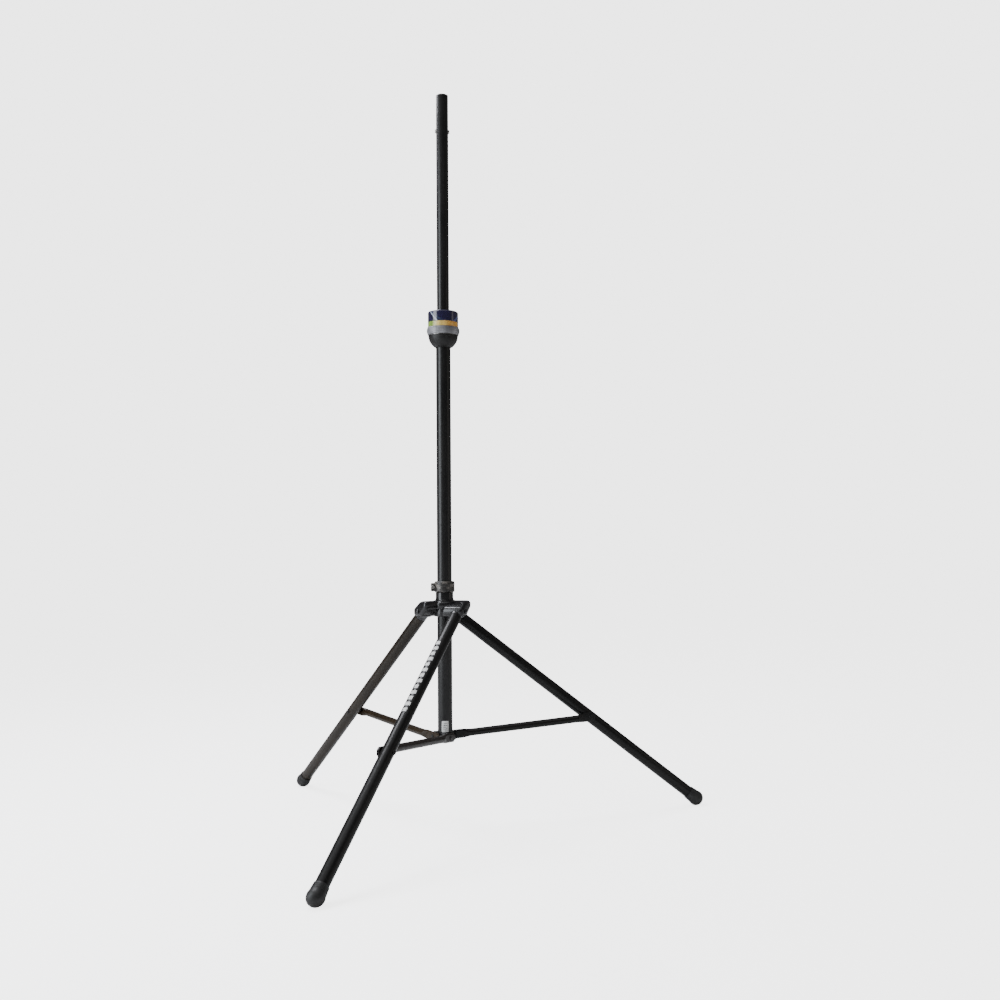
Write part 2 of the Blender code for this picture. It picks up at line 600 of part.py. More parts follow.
def main():
    clear_scene()
    stand = make_collection("speaker_tripod_stand")

    black_tube = make_material("black_tube", (0.030, 0.029, 0.030), 0.35, 0.6)
    black_leg = make_material("black_leg", (0.032, 0.029, 0.026), 0.42, 0.5)
    casting = make_material("black_casting", (0.022, 0.021, 0.023), 0.28, 0.1)
    plastic = make_material("black_plastic", (0.020, 0.020, 0.022), 0.45)
    grey_ring = make_material("grey_ring", (0.30, 0.30, 0.31), 0.38, 0.3)
    gold = make_material("gold_band", (0.75, 0.52, 0.18), 0.35)
    navy = make_material("navy_cap", (0.035, 0.035, 0.16), 0.30)
    rubber = make_material("rubber", (0.018, 0.018, 0.018), 0.75)
    steel = make_material("steel", (0.45, 0.44, 0.42), 0.35, 1.0)
    dark_steel = make_material("dark_steel", (0.06, 0.06, 0.06), 0.40, 0.8)
    paper = make_material("label_paper", (0.80, 0.80, 0.80), 0.55)
    clamp_metal = make_material("clamp_metal", (0.16, 0.15, 0.14), 0.45, 0.8)

    root = make_frame(stand, "stand_frame", Matrix())
    place(outer_tube(), "outer_tube", stand, black_tube, root)
    place(bottom_casting(), "bottom_casting", stand, casting, root)
    place(tube_bumper(), "tube_bumper", stand, rubber, root)
    place(tube_label(), "tube_label", stand, paper, root)
    place(collar_housing(), "collar_housing", stand, plastic, root)
    place(collar_collet(), "collar_collet", stand, plastic, root)
    place(collar_washer(), "collar_washer", stand, steel, root)

    lock = make_frame(stand, "lock_frame", Matrix(), root)
    place(collar_ring(), "collar_ring", stand, grey_ring, lock)
    place(collar_band(), "collar_band", stand, gold, lock)
    place(collar_cap(), "collar_cap", stand, navy, lock)

    pole = make_frame(stand, "pole_frame", Matrix(), root)
    place(inner_pole(), "inner_pole", stand, black_tube, pole)
    place(pole_end_cap(), "pole_end_cap", stand, plastic, pole)
    place(pole_foot_bushing(), "pole_foot_bushing", stand, plastic, pole)
    place(button_spring(), "button_spring", stand, steel, pole)
    button_frames = [
        make_frame(stand, "button_frame_%d" % (side + 1),
                   Matrix.Translation((0, 0, BUTTON_HEIGHT)) @ Matrix.Rotation(pi * side, 4, "Z"), pole)
        for side in (0, 1)]
    place_copies(spring_button(), "spring_button", stand, steel, button_frames)

    hub = make_frame(stand, "hub_frame", Matrix(), root)
    place(hub_casting(), "hub_casting", stand, casting, hub)
    place(hub_bushing(), "hub_bushing", stand, plastic, hub)
    place(clamp_band(), "clamp_band", stand, clamp_metal, hub)
    screw_place = (CLAMP_SCREW_REACH, 0, (NECK_TOP + CLAMP_TOP) / 2)
    screw = bolt(0.0052, 0.0050, CLAMP_SCREW_RADIUS, 0.0085, -0.0140, head_sides=BOLT_SIDES)
    screw.data.transform(Matrix.Rotation(pi, 4, "Z"))
    place(screw, "clamp_screw", stand, steel, hub, screw_place)
    nut = cylinder(0.0050, (0, 0.0085 + GAP, 0), (0, 0.0125, 0), 6)
    boolean(nut, cylinder(CLAMP_SCREW_RADIUS + GAP, (0, 0, 0), (0, 0.02, 0), BOLT_SIDES), "DIFFERENCE")
    place(nut, "clamp_nut", stand, steel, hub, screw_place)

    turns = [Matrix.Rotation(2 * pi * k / LEG_COUNT, 4, "Z") for k in range(LEG_COUNT)]
    hub_pin = Matrix.Translation((HUB_PIVOT_REACH, LEG_OFFSET, HUB_PIVOT_HEIGHT))
    brace_pin = Matrix.Translation((BRACE_PIVOT_REACH, BRACE_OFFSET, BRACE_PIVOT_HEIGHT))
    leg_tilt = hub_pin @ Matrix.Rotation(-LEG_ANGLE, 4, "Y")
    brace_tilt = brace_pin @ Matrix.Rotation(-BRACE_ANGLE, 4, "Y")
    hub_pins = [make_frame(stand, "hub_pin_%d" % (k + 1), turns[k] @ hub_pin, hub) for k in range(LEG_COUNT)]
    legs = [make_frame(stand, "leg_frame_%d" % (k + 1), turns[k] @ leg_tilt, hub) for k in range(LEG_COUNT)]
    brace_pins = [make_frame(stand, "brace_pin_%d" % (k + 1), turns[k] @ brace_pin, root)
                  for k in range(LEG_COUNT)]
    braces = [make_frame(stand, "brace_frame_%d" % (k + 1), turns[k] @ brace_tilt, root)
              for k in range(LEG_COUNT)]

    place_copies(leg_pivot_bolt(), "leg_pivot_bolt", stand, dark_steel, hub_pins)
    place_copies(leg_tube(), "leg_tube", stand, black_leg, legs)
    place_copies(leg_head(), "leg_head", stand, casting, legs)
    place_copies(foot(leg_tilt), "foot", stand, rubber, legs)
    place_copies(brace_nut(), "brace_nut", stand, dark_steel, brace_ends(stand, legs))
    place_copies(brace_inner_bolt(), "brace_inner_bolt", stand, dark_steel, brace_pins)
    place_copies(brace(), "brace", stand, black_leg, braces)
    place_copies(brace_outer_bolt(), "brace_outer_bolt", stand, dark_steel, braces)

    centre_over_base(root, [obj for obj in stand.objects if obj.type == "MESH"])


main()
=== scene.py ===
"""The looks of the speaker tripod stand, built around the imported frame.  Metres, +Z up."""

import json
from math import cos, pi, radians, sin

import bmesh
import bpy
from mathutils import Matrix, Vector


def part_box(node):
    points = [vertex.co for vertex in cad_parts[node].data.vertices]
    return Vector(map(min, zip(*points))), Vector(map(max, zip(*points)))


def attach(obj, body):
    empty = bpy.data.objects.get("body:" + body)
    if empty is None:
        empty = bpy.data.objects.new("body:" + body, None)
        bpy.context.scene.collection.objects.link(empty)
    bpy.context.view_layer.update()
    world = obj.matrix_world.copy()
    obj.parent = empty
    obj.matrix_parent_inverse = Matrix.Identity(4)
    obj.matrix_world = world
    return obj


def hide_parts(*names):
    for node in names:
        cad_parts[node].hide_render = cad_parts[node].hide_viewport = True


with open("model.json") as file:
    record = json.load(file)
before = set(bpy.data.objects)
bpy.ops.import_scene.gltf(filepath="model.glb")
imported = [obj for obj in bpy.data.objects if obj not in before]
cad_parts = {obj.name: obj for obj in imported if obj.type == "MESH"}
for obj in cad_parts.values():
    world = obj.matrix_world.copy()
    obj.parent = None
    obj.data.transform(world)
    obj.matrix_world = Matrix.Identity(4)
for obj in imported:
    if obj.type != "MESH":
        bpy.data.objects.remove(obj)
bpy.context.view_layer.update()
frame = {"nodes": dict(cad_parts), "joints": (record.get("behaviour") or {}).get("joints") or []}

# Places read from the frame
LEGS = (1, 2, 3)
JOINTS = {joint["name"]: joint for joint in frame["joints"]}
POLE_LOW, POLE_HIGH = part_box("inner_pole")
AXIS = Vector(((POLE_LOW.x + POLE_HIGH.x) / 2, (POLE_LOW.y + POLE_HIGH.y) / 2, 0))
POLE_TOP = POLE_HIGH.z
TO_AXIS = Matrix.Translation(AXIS)

# Sizes that pieces share
GAP = 0.0003                    # clearance that fitted pieces keep from one another
EDGE = 0.0004                   # small rounding that every cut edge has
TUBE_WALL = 0.0020
POLE_WALL = 0.0018
LEG_WALL = 0.0018
ROUNDING_STEPS = 3              # of each rounded corner in a turned outline
BEVEL_FROM = radians(28)        # edges sharper than this are bevelled

# Hub: X runs outwards along a leg and Y along its hinge pin
ARM_NEAR = 0.0120               # the arm's span along the pin
ARM_FAR = 0.0768
ARM_TAIL = -0.0180              # and its span along the leg
ARM_TIP = 0.0480
ARM_TIP_RISE = 0.0080           # of the arm's tip above the pin
ARM_ROUNDING = 0.0095
SLOT_NEAR = 0.0355              # inner faces of the arm's two cheeks
SLOT_FAR = 0.0705
SLOT_ROOM = 0.0006              # round the leg's head
LEG_HEAD_RADIUS = 0.0171
LEG_SPREAD = radians(51.48)     # of an open leg from the pole
LEG_REACH = 0.1000              # of the leg that the slot has to clear
HUB_ROOF = 0.0302               # the arms' tops, above the pins
HUB_STEP = 0.0006               # the barrel stands out by this above and below the arms
BARREL_RADIUS = 0.0300
WEB_RADIUS = 0.0400
WEB_HEIGHT = 0.0236

# Clamp band, with its ears towards -X
EAR_TIP = -0.0387
EAR_ROOT = -0.0262
EAR_HALF_WIDTH = 0.0084
SPLIT_HALF_WIDTH = 0.0012
CLAMP_SCREW_PLACE = -0.0335

# Pins and bolts
PIN_HOLE_RADIUS = 0.0045
BRACE_HOLE_RADIUS = 0.0038
BUTTON_HOLE_RADIUS = 0.0063
PIVOT_SHANK_RADIUS = 0.0040
BRACE_SHANK_RADIUS = 0.0033
PIVOT_HEAD = (0.0065, 0.0050)   # radius and height
BRACE_INNER_HEAD = (0.0060, 0.0013)
BRACE_OUTER_HEAD = (0.0060, 0.0042)

# Feet
FOOT_BULB = 0.0221
FOOT_CENTRE = 0.0225            # from the foot's lowest point up to the middle of its bulb
FOOT_SLEEVE = 0.0190
FOOT_RINGS = 3
FOOT_RING_PITCH = 0.0048
FOOT_GROOVE = 0.0007

# Braces, along +X from the pin at the bottom casting
BRACE_RADIUS = 0.0105
BRACE_WALL = 0.0015
BRACE_SIDES = 48
FLAT_HALF_WIDTH = 0.0034
FLAT_HALF_HEIGHT = 0.0130
CLIPPED_HALF_HEIGHT = 0.0075
BRACE_TAIL = 0.0285             # behind the inner pin
BRACE_END = 0.0135              # beyond the outer pin
INNER_FLAT = 0.0250             # where the inner crush begins to blend, and where the tube is round
INNER_ROUND = 0.0550
OUTER_FLAT = 0.0165             # the same, measured back from the outer pin
OUTER_ROUND = 0.0420
BLEND_STEPS = 10

# Collar
GRIP_RIBS = 28
GRIP_RIB_DEPTH = 0.0003
GRIP_RIB_FADE = 0.0035          # height over which a rib runs out at both edges
GRIP_OUTSIDE = 0.0445           # only points beyond this radius are ribbed

# Print
LABEL_HALF_ANGLE = radians(27)
LABEL_CORNER = 0.0030
LABEL_LIFT = 0.0002
LABEL_THICKNESS = 0.0004
MARKED_LEG = 3
MARK_COUNT = 13
MARK_START = -0.1460            # along the leg, from its hinge
MARK_PITCH = 0.0205
MARK_HEIGHT = 0.0119
MARK_WIDTHS = (0.72, 0.95)      # in radians round the leg, in turn
MARK_FACING = radians(4) - 0.16
MARK_LIFT = 0.00015
MARK_THICKNESS = 0.00012

# Camera, placed about the pole
CAMERA_DISTANCE = 3.306
CAMERA_HEIGHT = 0.796
CAMERA_TURN = radians(-3.92)
CAMERA_YAW = radians(7.80)
CAMERA_PITCH = radians(-2.14)
CAMERA_ROLL = radians(-0.59)
CAMERA_LENS = 41.02
CAMERA_SENSOR = 36.0
CAMERA_SHIFT = -0.10
LABEL_FACING = CAMERA_TURN - pi / 2     # the side of the tube that the camera is on

# Brightness of the surroundings: what lights the stand, and what shows behind and under it
WORLD_LIGHT = 0.16
BACKDROP_LIGHT = 3.6
FLOOR_SHARE = 0.90              # of the backdrop's brightness
FLOOR_SIZE = 120


# ------------------------------------ node helpers

class Nodes:
    """A material's node tree with short calls for the few nodes used here."""

    def __init__(self, name):
        self.material = bpy.data.materials.new(name)
        self.material.use_nodes = True
        self.tree = self.material.node_tree
        self.shader = self.tree.nodes["Principled BSDF"]
        self.coords = self.tree.nodes.new("ShaderNodeTexCoord").outputs["Object"]

    def put(self, socket, value):
        if isinstance(value, bpy.types.NodeSocket):
            self.tree.links.new(value, socket)
        else:
            socket.default_value = value

    def stretched(self, scale):
        node = self.tree.nodes.new("ShaderNodeMapping")
        self.put(node.inputs["Vector"], self.coords)
        node.inputs["Scale"].default_value = scale
        return node.outputs["Vector"]

    def noise(self, scale, detail=4.0, vector=None, roughness=0.55):
        node = self.tree.nodes.new("ShaderNodeTexNoise")
        self.put(node.inputs["Vector"], vector or self.coords)
        node.inputs["Scale"].default_value = scale
        node.inputs["Detail"].default_value = detail
        node.inputs["Roughness"].default_value = roughness
        return node.outputs["Fac"]

    def ramp(self, value, low, high, out_low=0.0, out_high=1.0):
        node = self.tree.nodes.new("ShaderNodeMapRange")
        node.clamp = True
        self.put(node.inputs["Value"], value)
        for key, number in (("From Min", low), ("From Max", high), ("To Min", out_low), ("To Max", out_high)):
            node.inputs[key].default_value = number
        return node.outputs["Result"]

    def math(self, operation, first, second=0.0):
        node = self.tree.nodes.new("ShaderNodeMath")
        node.operation = operation
        self.put(node.inputs[0], first)
        self.put(node.inputs[1], second)
        return node.outputs[0]

    def mix(self, factor, first, second):
        node = self.tree.nodes.new("ShaderNodeMix")
        node.data_type = "RGBA"
        self.put(node.inputs["Factor"], factor)
        for key, value in (("A", first), ("B", second)):
            socket = [s for s in node.inputs if s.name == key and s.type == "RGBA"][0]
            self.put(socket, (*value, 1.0) if isinstance(value, tuple) else value)
        return [s for s in node.outputs if s.type == "RGBA"][0]

    def axes(self):
        node = self.tree.nodes.new("ShaderNodeSeparateXYZ")
        self.put(node.inputs[0], self.coords)
        return node.outputs

    def bump(self, height, strength, distance=0.0005, normal=None):
        node = self.tree.nodes.new("ShaderNodeBump")
        node.inputs["Strength"].default_value = strength
        node.inputs["Distance"].default_value = distance
        self.put(node.inputs["Height"], height)
        if normal:
            self.put(node.inputs["Normal"], normal)
        return node.outputs["Normal"]

    def edge_mask(self, radius=0.0012):
        """1 along sharp edges, where a coating rubs through."""
        bevel = self.tree.nodes.new("ShaderNodeBevel")
        bevel.samples = 4
        bevel.inputs["Radius"].default_value = radius
        geometry = self.tree.nodes.new("ShaderNodeNewGeometry")
        dot = self.tree.nodes.new("ShaderNodeVectorMath")
        dot.operation = "DOT_PRODUCT"
        self.put(dot.inputs[0], bevel.outputs[0])
        self.put(dot.inputs[1], geometry.outputs["Normal"])
        return self.ramp(dot.outputs["Value"], 0.995, 0.93)

    def finish(self, color, roughness, metallic=0.0, normal=None, **sockets):
        self.put(self.shader.inputs["Base Color"], color)
        self.put(self.shader.inputs["Roughness"], roughness)
        self.put(self.shader.inputs["Metallic"], metallic)
        if normal:
            self.put(self.shader.inputs["Normal"], normal)
        for key, value in sockets.items():
            self.shader.inputs[key.replace("_", " ")].default_value = value
        return self.material


# ------------------------------------ materials

def coated_tube(name, dark, light, long_axis=(1, 1, 0.02), bare_above=None, gloss=0.38):
    """Satin black coating on aluminium tube: drawn streaks, fine grain, faint handling marks."""
    n = Nodes(name)
    streaks = n.noise(380, 3, n.stretched(long_axis))
    cloud = n.noise(7, 5)
    grain = n.noise(2600, 2)
    marks = n.ramp(n.noise(60, 6, n.stretched((1, 1, 0.15)), 0.75), 0.64, 0.72)
    color = n.mix(n.ramp(cloud, 0.35, 0.68), dark, light)
    color = n.mix(n.math("MULTIPLY", n.ramp(streaks, 0.45, 0.75), 0.35), color, tuple(1.9 * c for c in light))
    color = n.mix(n.math("MULTIPLY", marks, 0.25), color, (0.075, 0.072, 0.070))
    rough = n.math("ADD", n.ramp(cloud, 0.3, 0.7, 0.26, 0.36), n.math("MULTIPLY", streaks, 0.10))
    metallic = 0.0
    if bare_above:              # bare metal at the tip, and a dark ring a little below it
        height = n.axes()["Z"]
        bare = n.math("GREATER_THAN", height, bare_above)
        ring = n.math("MULTIPLY", n.ramp(height, bare_above - 0.0120, bare_above - 0.0105),
                      n.ramp(height, bare_above - 0.0030, bare_above - 0.0045))
        color = n.mix(n.math("MULTIPLY", ring, 0.75), color, (0.004, 0.004, 0.004))
        color = n.mix(bare, color, (0.62, 0.62, 0.61))
        metallic = bare
    normal = n.bump(grain, 0.06, 0.0001, n.bump(streaks, 0.03, 0.0001))
    return n.finish(color, rough, metallic, normal, Specular_IOR_Level=gloss, Coat_Weight=gloss / 6,
                    Coat_Roughness=0.2)


def cast_coating(name):
    """Smooth glossy black over a casting, with orange peel and bright rubbed edges."""
    n = Nodes(name)
    peel = n.noise(420, 2)
    cloud = n.noise(30, 5)
    edges = n.math("MULTIPLY", n.edge_mask(), n.ramp(n.noise(140, 5), 0.46, 0.62))
    color = n.mix(n.ramp(cloud, 0.3, 0.7), (0.004, 0.004, 0.005), (0.010, 0.009, 0.010))
    color = n.mix(n.math("MULTIPLY", edges, 0.22), color, (0.12, 0.11, 0.10))
    return n.finish(color, n.ramp(cloud, 0.3, 0.7, 0.21, 0.28), 0.0, n.bump(peel, 0.08, 0.0002),
                    Specular_IOR_Level=0.5, Coat_Weight=0.10, Coat_Roughness=0.12)


def moulded_plastic(name, dark, light):
    """Fine-grained black moulding with scuffs that run round it."""
    n = Nodes(name)
    grain = n.noise(1500, 2)
    cloud = n.noise(40, 5)
    scuff = n.ramp(n.noise(150, 7, n.stretched((1, 1, 0.2)), 0.8), 0.66, 0.74)
    color = n.mix(n.ramp(cloud, 0.3, 0.7), dark, light)
    color = n.mix(n.math("MULTIPLY", scuff, 0.3), color, tuple(min(1.0, 1.7 * c + 0.01) for c in light))
    return n.finish(color, n.ramp(cloud, 0.3, 0.7, 0.38, 0.52), 0.0, n.bump(grain, 0.2, 0.0002),
                    Specular_IOR_Level=0.35)


def rubber_skin(name):
    """Matt black rubber with dust on it, more of it near the floor."""
    n = Nodes(name)
    grain = n.noise(1100, 4)
    dust = n.ramp(n.noise(55, 6), 0.52, 0.75)
    low = n.ramp(n.axes()["Z"], 0.020, 0.0)
    color = n.mix(n.math("MULTIPLY", dust, 0.5), (0.009, 0.009, 0.009), (0.030, 0.029, 0.027))
    color = n.mix(n.math("MULTIPLY", low, 0.35), color, (0.060, 0.056, 0.050))
    return n.finish(color, n.ramp(dust, 0, 1, 0.50, 0.72), 0.0, n.bump(grain, 0.30, 0.0003))


def plated_steel(name, dark, light, rough=0.28):
    """Turned steel with a blotchy plating."""
    n = Nodes(name)
    brushed = n.noise(900, 3, n.stretched((1, 1, 0.08)))
    blotch = n.noise(220, 6)
    color = n.mix(n.ramp(blotch, 0.35, 0.68), dark, light)
    return n.finish(color, n.ramp(brushed, 0.3, 0.7, rough, rough + 0.16), 0.9, n.bump(brushed, 0.1, 0.0002))


def worn_clamp(name):
    """Dark coating with a speckle of bare metal and a pale rubbed sweep round the band."""
    n = Nodes(name)
    speckle = n.ramp(n.noise(300, 8, roughness=0.8), 0.50, 0.60)
    sweep = n.ramp(n.noise(45, 4, n.stretched((1, 1, 2.2))), 0.48, 0.62)
    edges = n.edge_mask(0.0016)
    worn = n.math("MULTIPLY", n.math("MAXIMUM", sweep, edges), n.ramp(speckle, 0, 1, 0.35, 1.0))
    color = n.mix(worn, (0.028, 0.026, 0.025), (0.34, 0.31, 0.28))
    return n.finish(color, n.ramp(worn, 0, 1, 0.34, 0.46), n.math("MULTIPLY", worn, 0.6),
                    n.bump(speckle, 0.25, 0.0003))


def angle_round_pole(n):
    """Angle about the pole and height, as two sockets."""
    axes = n.axes()
    x = n.math("SUBTRACT", axes["X"], AXIS.x)
    y = n.math("SUBTRACT", axes["Y"], AXIS.y)
    return n.math("ARCTAN2", y, x), axes["Z"]


CAP_STREAKS = (                 # angle, lean, width, strength, tint
    (-2.06, -0.62, 0.085, 0.85, (0.62, 0.70, 0.86)),
    (-1.72, -0.95, 0.160, 0.25, (0.09, 0.15, 0.26)),
    (-0.82, 0.85, 0.170, 0.50, (0.20, 0.26, 0.62)),
    (0.55, -0.60, 0.110, 0.60, (0.40, 0.48, 0.75)),
    (1.75, 0.70, 0.140, 0.55, (0.26, 0.32, 0.68)),
    (2.75, -0.50, 0.100, 0.55, (0.40, 0.48, 0.75)),
)


def printed_cap(name, low, high):
    """Glossy navy print with soft violet clouds and pale sweeping streaks."""
    n = Nodes(name)
    angle, height = angle_round_pole(n)
    rise = n.ramp(height, low, high)
    cloud = n.noise(38, 4)
    color = n.mix(n.ramp(cloud, 0.36, 0.66), (0.005, 0.005, 0.022), (0.017, 0.012, 0.060))
    fade = n.ramp(rise, 0.98, 0.80)
    for centre, lean, width, strength, tint in CAP_STREAKS:
        line = n.math("ADD", n.math("SUBTRACT", angle, centre), n.math("MULTIPLY", rise, -lean))
        near = n.ramp(n.math("ABSOLUTE", line), width, width * 0.25)
        uneven = n.ramp(cloud, 0.3, 0.6, 0.6 * strength, strength)
        amount = n.math("MULTIPLY", n.math("MULTIPLY", near, fade), uneven)
        color = n.mix(amount, color, tint)
    return n.finish(color, n.ramp(cloud, 0.3, 0.7, 0.14, 0.24), 0.0, n.bump(n.noise(700, 2), 0.04, 0.0003),
                    Coat_Weight=0.5, Coat_Roughness=0.08)


def printed_band(name):
    """Gold print that runs from pale yellow to orange round the collar, with a green end."""
    n = Nodes(name)
    turn = n.ramp(angle_round_pole(n)[0], -2.6, -0.6)
    color = n.mix(n.ramp(turn, 0.10, 0.30), (0.12, 0.32, 0.04), (0.92, 0.74, 0.24))
    color = n.mix(n.ramp(turn, 0.35, 0.75), color, (0.80, 0.38, 0.06))
    patch = n.math("MULTIPLY", n.ramp(n.math("ABSOLUTE", n.math("SUBTRACT", turn, 0.42)), 0.09, 0.02), 0.5)
    color = n.mix(patch, color, (0.34, 0.22, 0.03))
    color = n.mix(n.math("MULTIPLY", n.noise(90, 4), 0.35), color, (0.72, 0.42, 0.10))
    return n.finish(color, n.ramp(n.noise(60, 3), 0.3, 0.7, 0.26, 0.36), 0.0,
                    n.bump(n.noise(700, 2), 0.05, 0.0003), Coat_Weight=0.3, Coat_Roughness=0.12)


def grip_ring(name):
    """Grey moulding with soft painted highlight streaks up its ribs."""
    n = Nodes(name)
    painted_highlight_streak = n.noise(9, 4, n.stretched((3, 3, 0.2)))
    cloud = n.noise(60, 5)
    # the lighter vertical streaks are painted highlights on the ribs
    color = n.mix(n.ramp(painted_highlight_streak, 0.35, 0.65), (0.09, 0.09, 0.095), (0.30, 0.30, 0.32))
    color = n.mix(n.math("MULTIPLY", n.ramp(cloud, 0.5, 0.7), 0.4), color, (0.07, 0.07, 0.07))
    return n.finish(color, n.ramp(cloud, 0.3, 0.7, 0.30, 0.44), 0.15, n.bump(n.noise(900, 2), 0.12, 0.0003))


def sticker(name, low, high):
    """White sticker with plain grey bars and no lettering."""
    n = Nodes(name)
    angle, height = angle_round_pole(n)
    rise = n.ramp(height, low, high)
    across = n.math("ABSOLUTE", n.math("SUBTRACT", angle, LABEL_FACING))
    within = n.math("MULTIPLY", n.ramp(rise, 0.14, 0.18), n.ramp(rise, 0.90, 0.86))
    inside = n.math("MULTIPLY", n.ramp(across, 0.34, 0.30), within)
    rows = n.math("GREATER_THAN", n.math("FRACT", n.math("MULTIPLY", rise, 6.0)), 0.42)
    broken = n.ramp(n.noise(520, 2), 0.47, 0.53)
    ink = n.math("MULTIPLY", inside, n.math("MULTIPLY", rows, broken))
    paper = n.mix(n.ramp(n.noise(160, 4), 0.35, 0.7), (0.82, 0.82, 0.81), (0.70, 0.70, 0.69))
    color = n.mix(ink, paper, (0.05, 0.05, 0.055))
    return n.finish(color, n.ramp(n.noise(200, 3), 0.3, 0.7, 0.40, 0.55), 0.0,
                    n.bump(n.noise(1200, 3), 0.08, 0.0002))


def white_ink(name):
    """Screen print, thin in places."""
    n = Nodes(name)
    worn = n.noise(420, 6, roughness=0.7)
    color = n.mix(n.ramp(worn, 0.30, 0.60), (0.50, 0.50, 0.49), (0.86, 0.86, 0.85))
    return n.finish(color, n.ramp(worn, 0.3, 0.7, 0.42, 0.58), 0.0, n.bump(worn, 0.1, 0.0002))


def studio_floor(name):
    """Pale floor that glows to the camera only, so that it meets the backdrop without an edge."""
    n = Nodes(name)
    cloud = n.noise(0.8, 3)
    color = n.mix(cloud, (0.84, 0.84, 0.84), (0.88, 0.88, 0.88))
    path = n.tree.nodes.new("ShaderNodeLightPath")
    glow = n.math("MULTIPLY", path.outputs["Is Camera Ray"], FLOOR_SHARE * BACKDROP_LIGHT)
    n.put(n.shader.inputs["Emission Strength"], glow)
    n.shader.inputs["Emission Color"].default_value = (1, 1, 1, 1)
    return n.finish(color, 0.75, Specular_IOR_Level=0.2)


# ------------------------------------ shapes

def new_object(bm, name):
    bmesh.ops.recalc_face_normals(bm, faces=bm.faces)
    mesh = bpy.data.meshes.new(name)
    bm.to_mesh(mesh)
    bm.free()
    obj = bpy.data.objects.new(name, mesh)
    bpy.context.scene.collection.objects.link(obj)
    return obj


def smooth(obj, angle=32):
    obj.data.shade_smooth()
    obj.data.set_sharp_from_angle(angle=radians(angle))
    return obj


def bridge(bm, rings, closed):
    """Join rings of one length with quads: round to the first ring again, or with a cap at each end."""
    for ring, after in zip(rings, rings[1:] + rings[:1] if closed else rings[1:]):
        for i in range(len(ring)):
            j = (i + 1) % len(ring)
            bm.faces.new((ring[i], ring[j], after[j], after[i]))
    if not closed:
        bm.faces.new(rings[0])
        bm.faces.new(rings[-1][::-1])


def rounded_outline(points, size):
    """Round every corner of a closed outline by about the given size."""
    rounded = []
    count = len(points)
    for i in range(count):
        before, corner, after = (Vector(points[(i + k) % count]) for k in (-1, 0, 1))
        back, ahead = before - corner, after - corner
        reach = min(size, 0.45 * back.length, 0.45 * ahead.length)
        start, end = corner + back.normalized() * reach, corner + ahead.normalized() * reach
        for step in range(ROUNDING_STEPS + 1):
            t = step / ROUNDING_STEPS
            rounded.append(start * (1 - t) ** 2 + corner * 2 * t * (1 - t) + end * t ** 2)
    return rounded


def turned(name, outline, sides=96, ripple=None, corner=EDGE):
    """Turn a closed (radius, height) outline about Z.  A ripple may change the radius by angle."""
    outline = rounded_outline(outline, corner) if corner else [Vector(point) for point in outline]
    bm = bmesh.new()
    rings = []
    for i in range(sides):
        angle = 2 * pi * i / sides
        ring = []
        for radius, height in outline:
            reach = radius + (ripple(angle, radius, height) if ripple else 0.0)
            ring.append(bm.verts.new((reach * cos(angle), reach * sin(angle), height)))
        rings.append(ring)
    bridge(bm, rings, closed=True)
    return smooth(new_object(bm, name))


def sleeve(name, inner, outer, bottom, top, sides=96):
    return turned(name, [(outer, top), (outer, bottom), (inner, bottom), (inner, top)], sides)


def solid_of_turning(name, outline, sides=64):
    """Turn an open outline whose ends lie on the axis, where a ring is one point."""
    bm = bmesh.new()
    rings = []
    for radius, height in outline:
        angles = [2 * pi * i / sides for i in range(sides)] if radius else [0.0]
        rings.append([bm.verts.new((radius * cos(a), radius * sin(a), height)) for a in angles])
    for ring, after in zip(rings, rings[1:]):
        for i in range(sides):
            j = (i + 1) % sides
            corners = [ring[i % len(ring)], ring[j % len(ring)], after[j % len(after)], after[i % len(after)]]
            bm.faces.new(list(dict.fromkeys(corners)))
    return smooth(new_object(bm, name))


def prism(outline, near, far):
    """An (x, z) outline extruded along Y."""
    bm = bmesh.new()
    face = bm.faces.new([bm.verts.new((x, near, z)) for x, z in outline])
    swept = bmesh.ops.extrude_face_region(bm, geom=[face])["geom"]
    moved = [item for item in swept if isinstance(item, bmesh.types.BMVert)]
    bmesh.ops.translate(bm, vec=(0, far - near, 0), verts=moved)
    return new_object(bm, "prism")


def block(size_low, size_high):
    low, high = Vector(size_low), Vector(size_high)
    bm = bmesh.new()
    bmesh.ops.create_cube(bm, size=1.0)
    bmesh.ops.scale(bm, vec=high - low, verts=bm.verts)
    bmesh.ops.translate(bm, vec=(low + high) / 2, verts=bm.verts)
    return new_object(bm, "block")


def rod(radius, start, end, sides=48, top_radius=None):
    start, end = Vector(start), Vector(end)
    run = end - start
    bm = bmesh.new()
    bmesh.ops.create_cone(
        bm, cap_ends=True, segments=sides, depth=run.length, radius1=radius,
        radius2=radius if top_radius is None else top_radius,
        matrix=Matrix.Translation((start + end) / 2) @ run.to_track_quat("Z", "Y").to_matrix().to_4x4())
    return new_object(bm, "rod")


def apply_modifiers(obj):
    graph = bpy.context.evaluated_depsgraph_get()
    mesh = bpy.data.meshes.new_from_object(obj.evaluated_get(graph))
    obj.modifiers.clear()
    obj.data = mesh
    return obj


def boolean(obj, other, operation):
    modifier = obj.modifiers.new(operation.title(), "BOOLEAN")
    modifier.operation = operation
    modifier.solver = "EXACT"
    modifier.object = other
    apply_modifiers(obj)
    bpy.data.objects.remove(other, do_unlink=True)
    return obj


def bevel(obj, width, segments):
    modifier = obj.modifiers.new("Bevel", "BEVEL")
    modifier.width = width
    modifier.segments = segments
    modifier.limit_method = "ANGLE"
    modifier.angle_limit = BEVEL_FROM
    return apply_modifiers(obj)


# ------------------------------------ putting pieces in

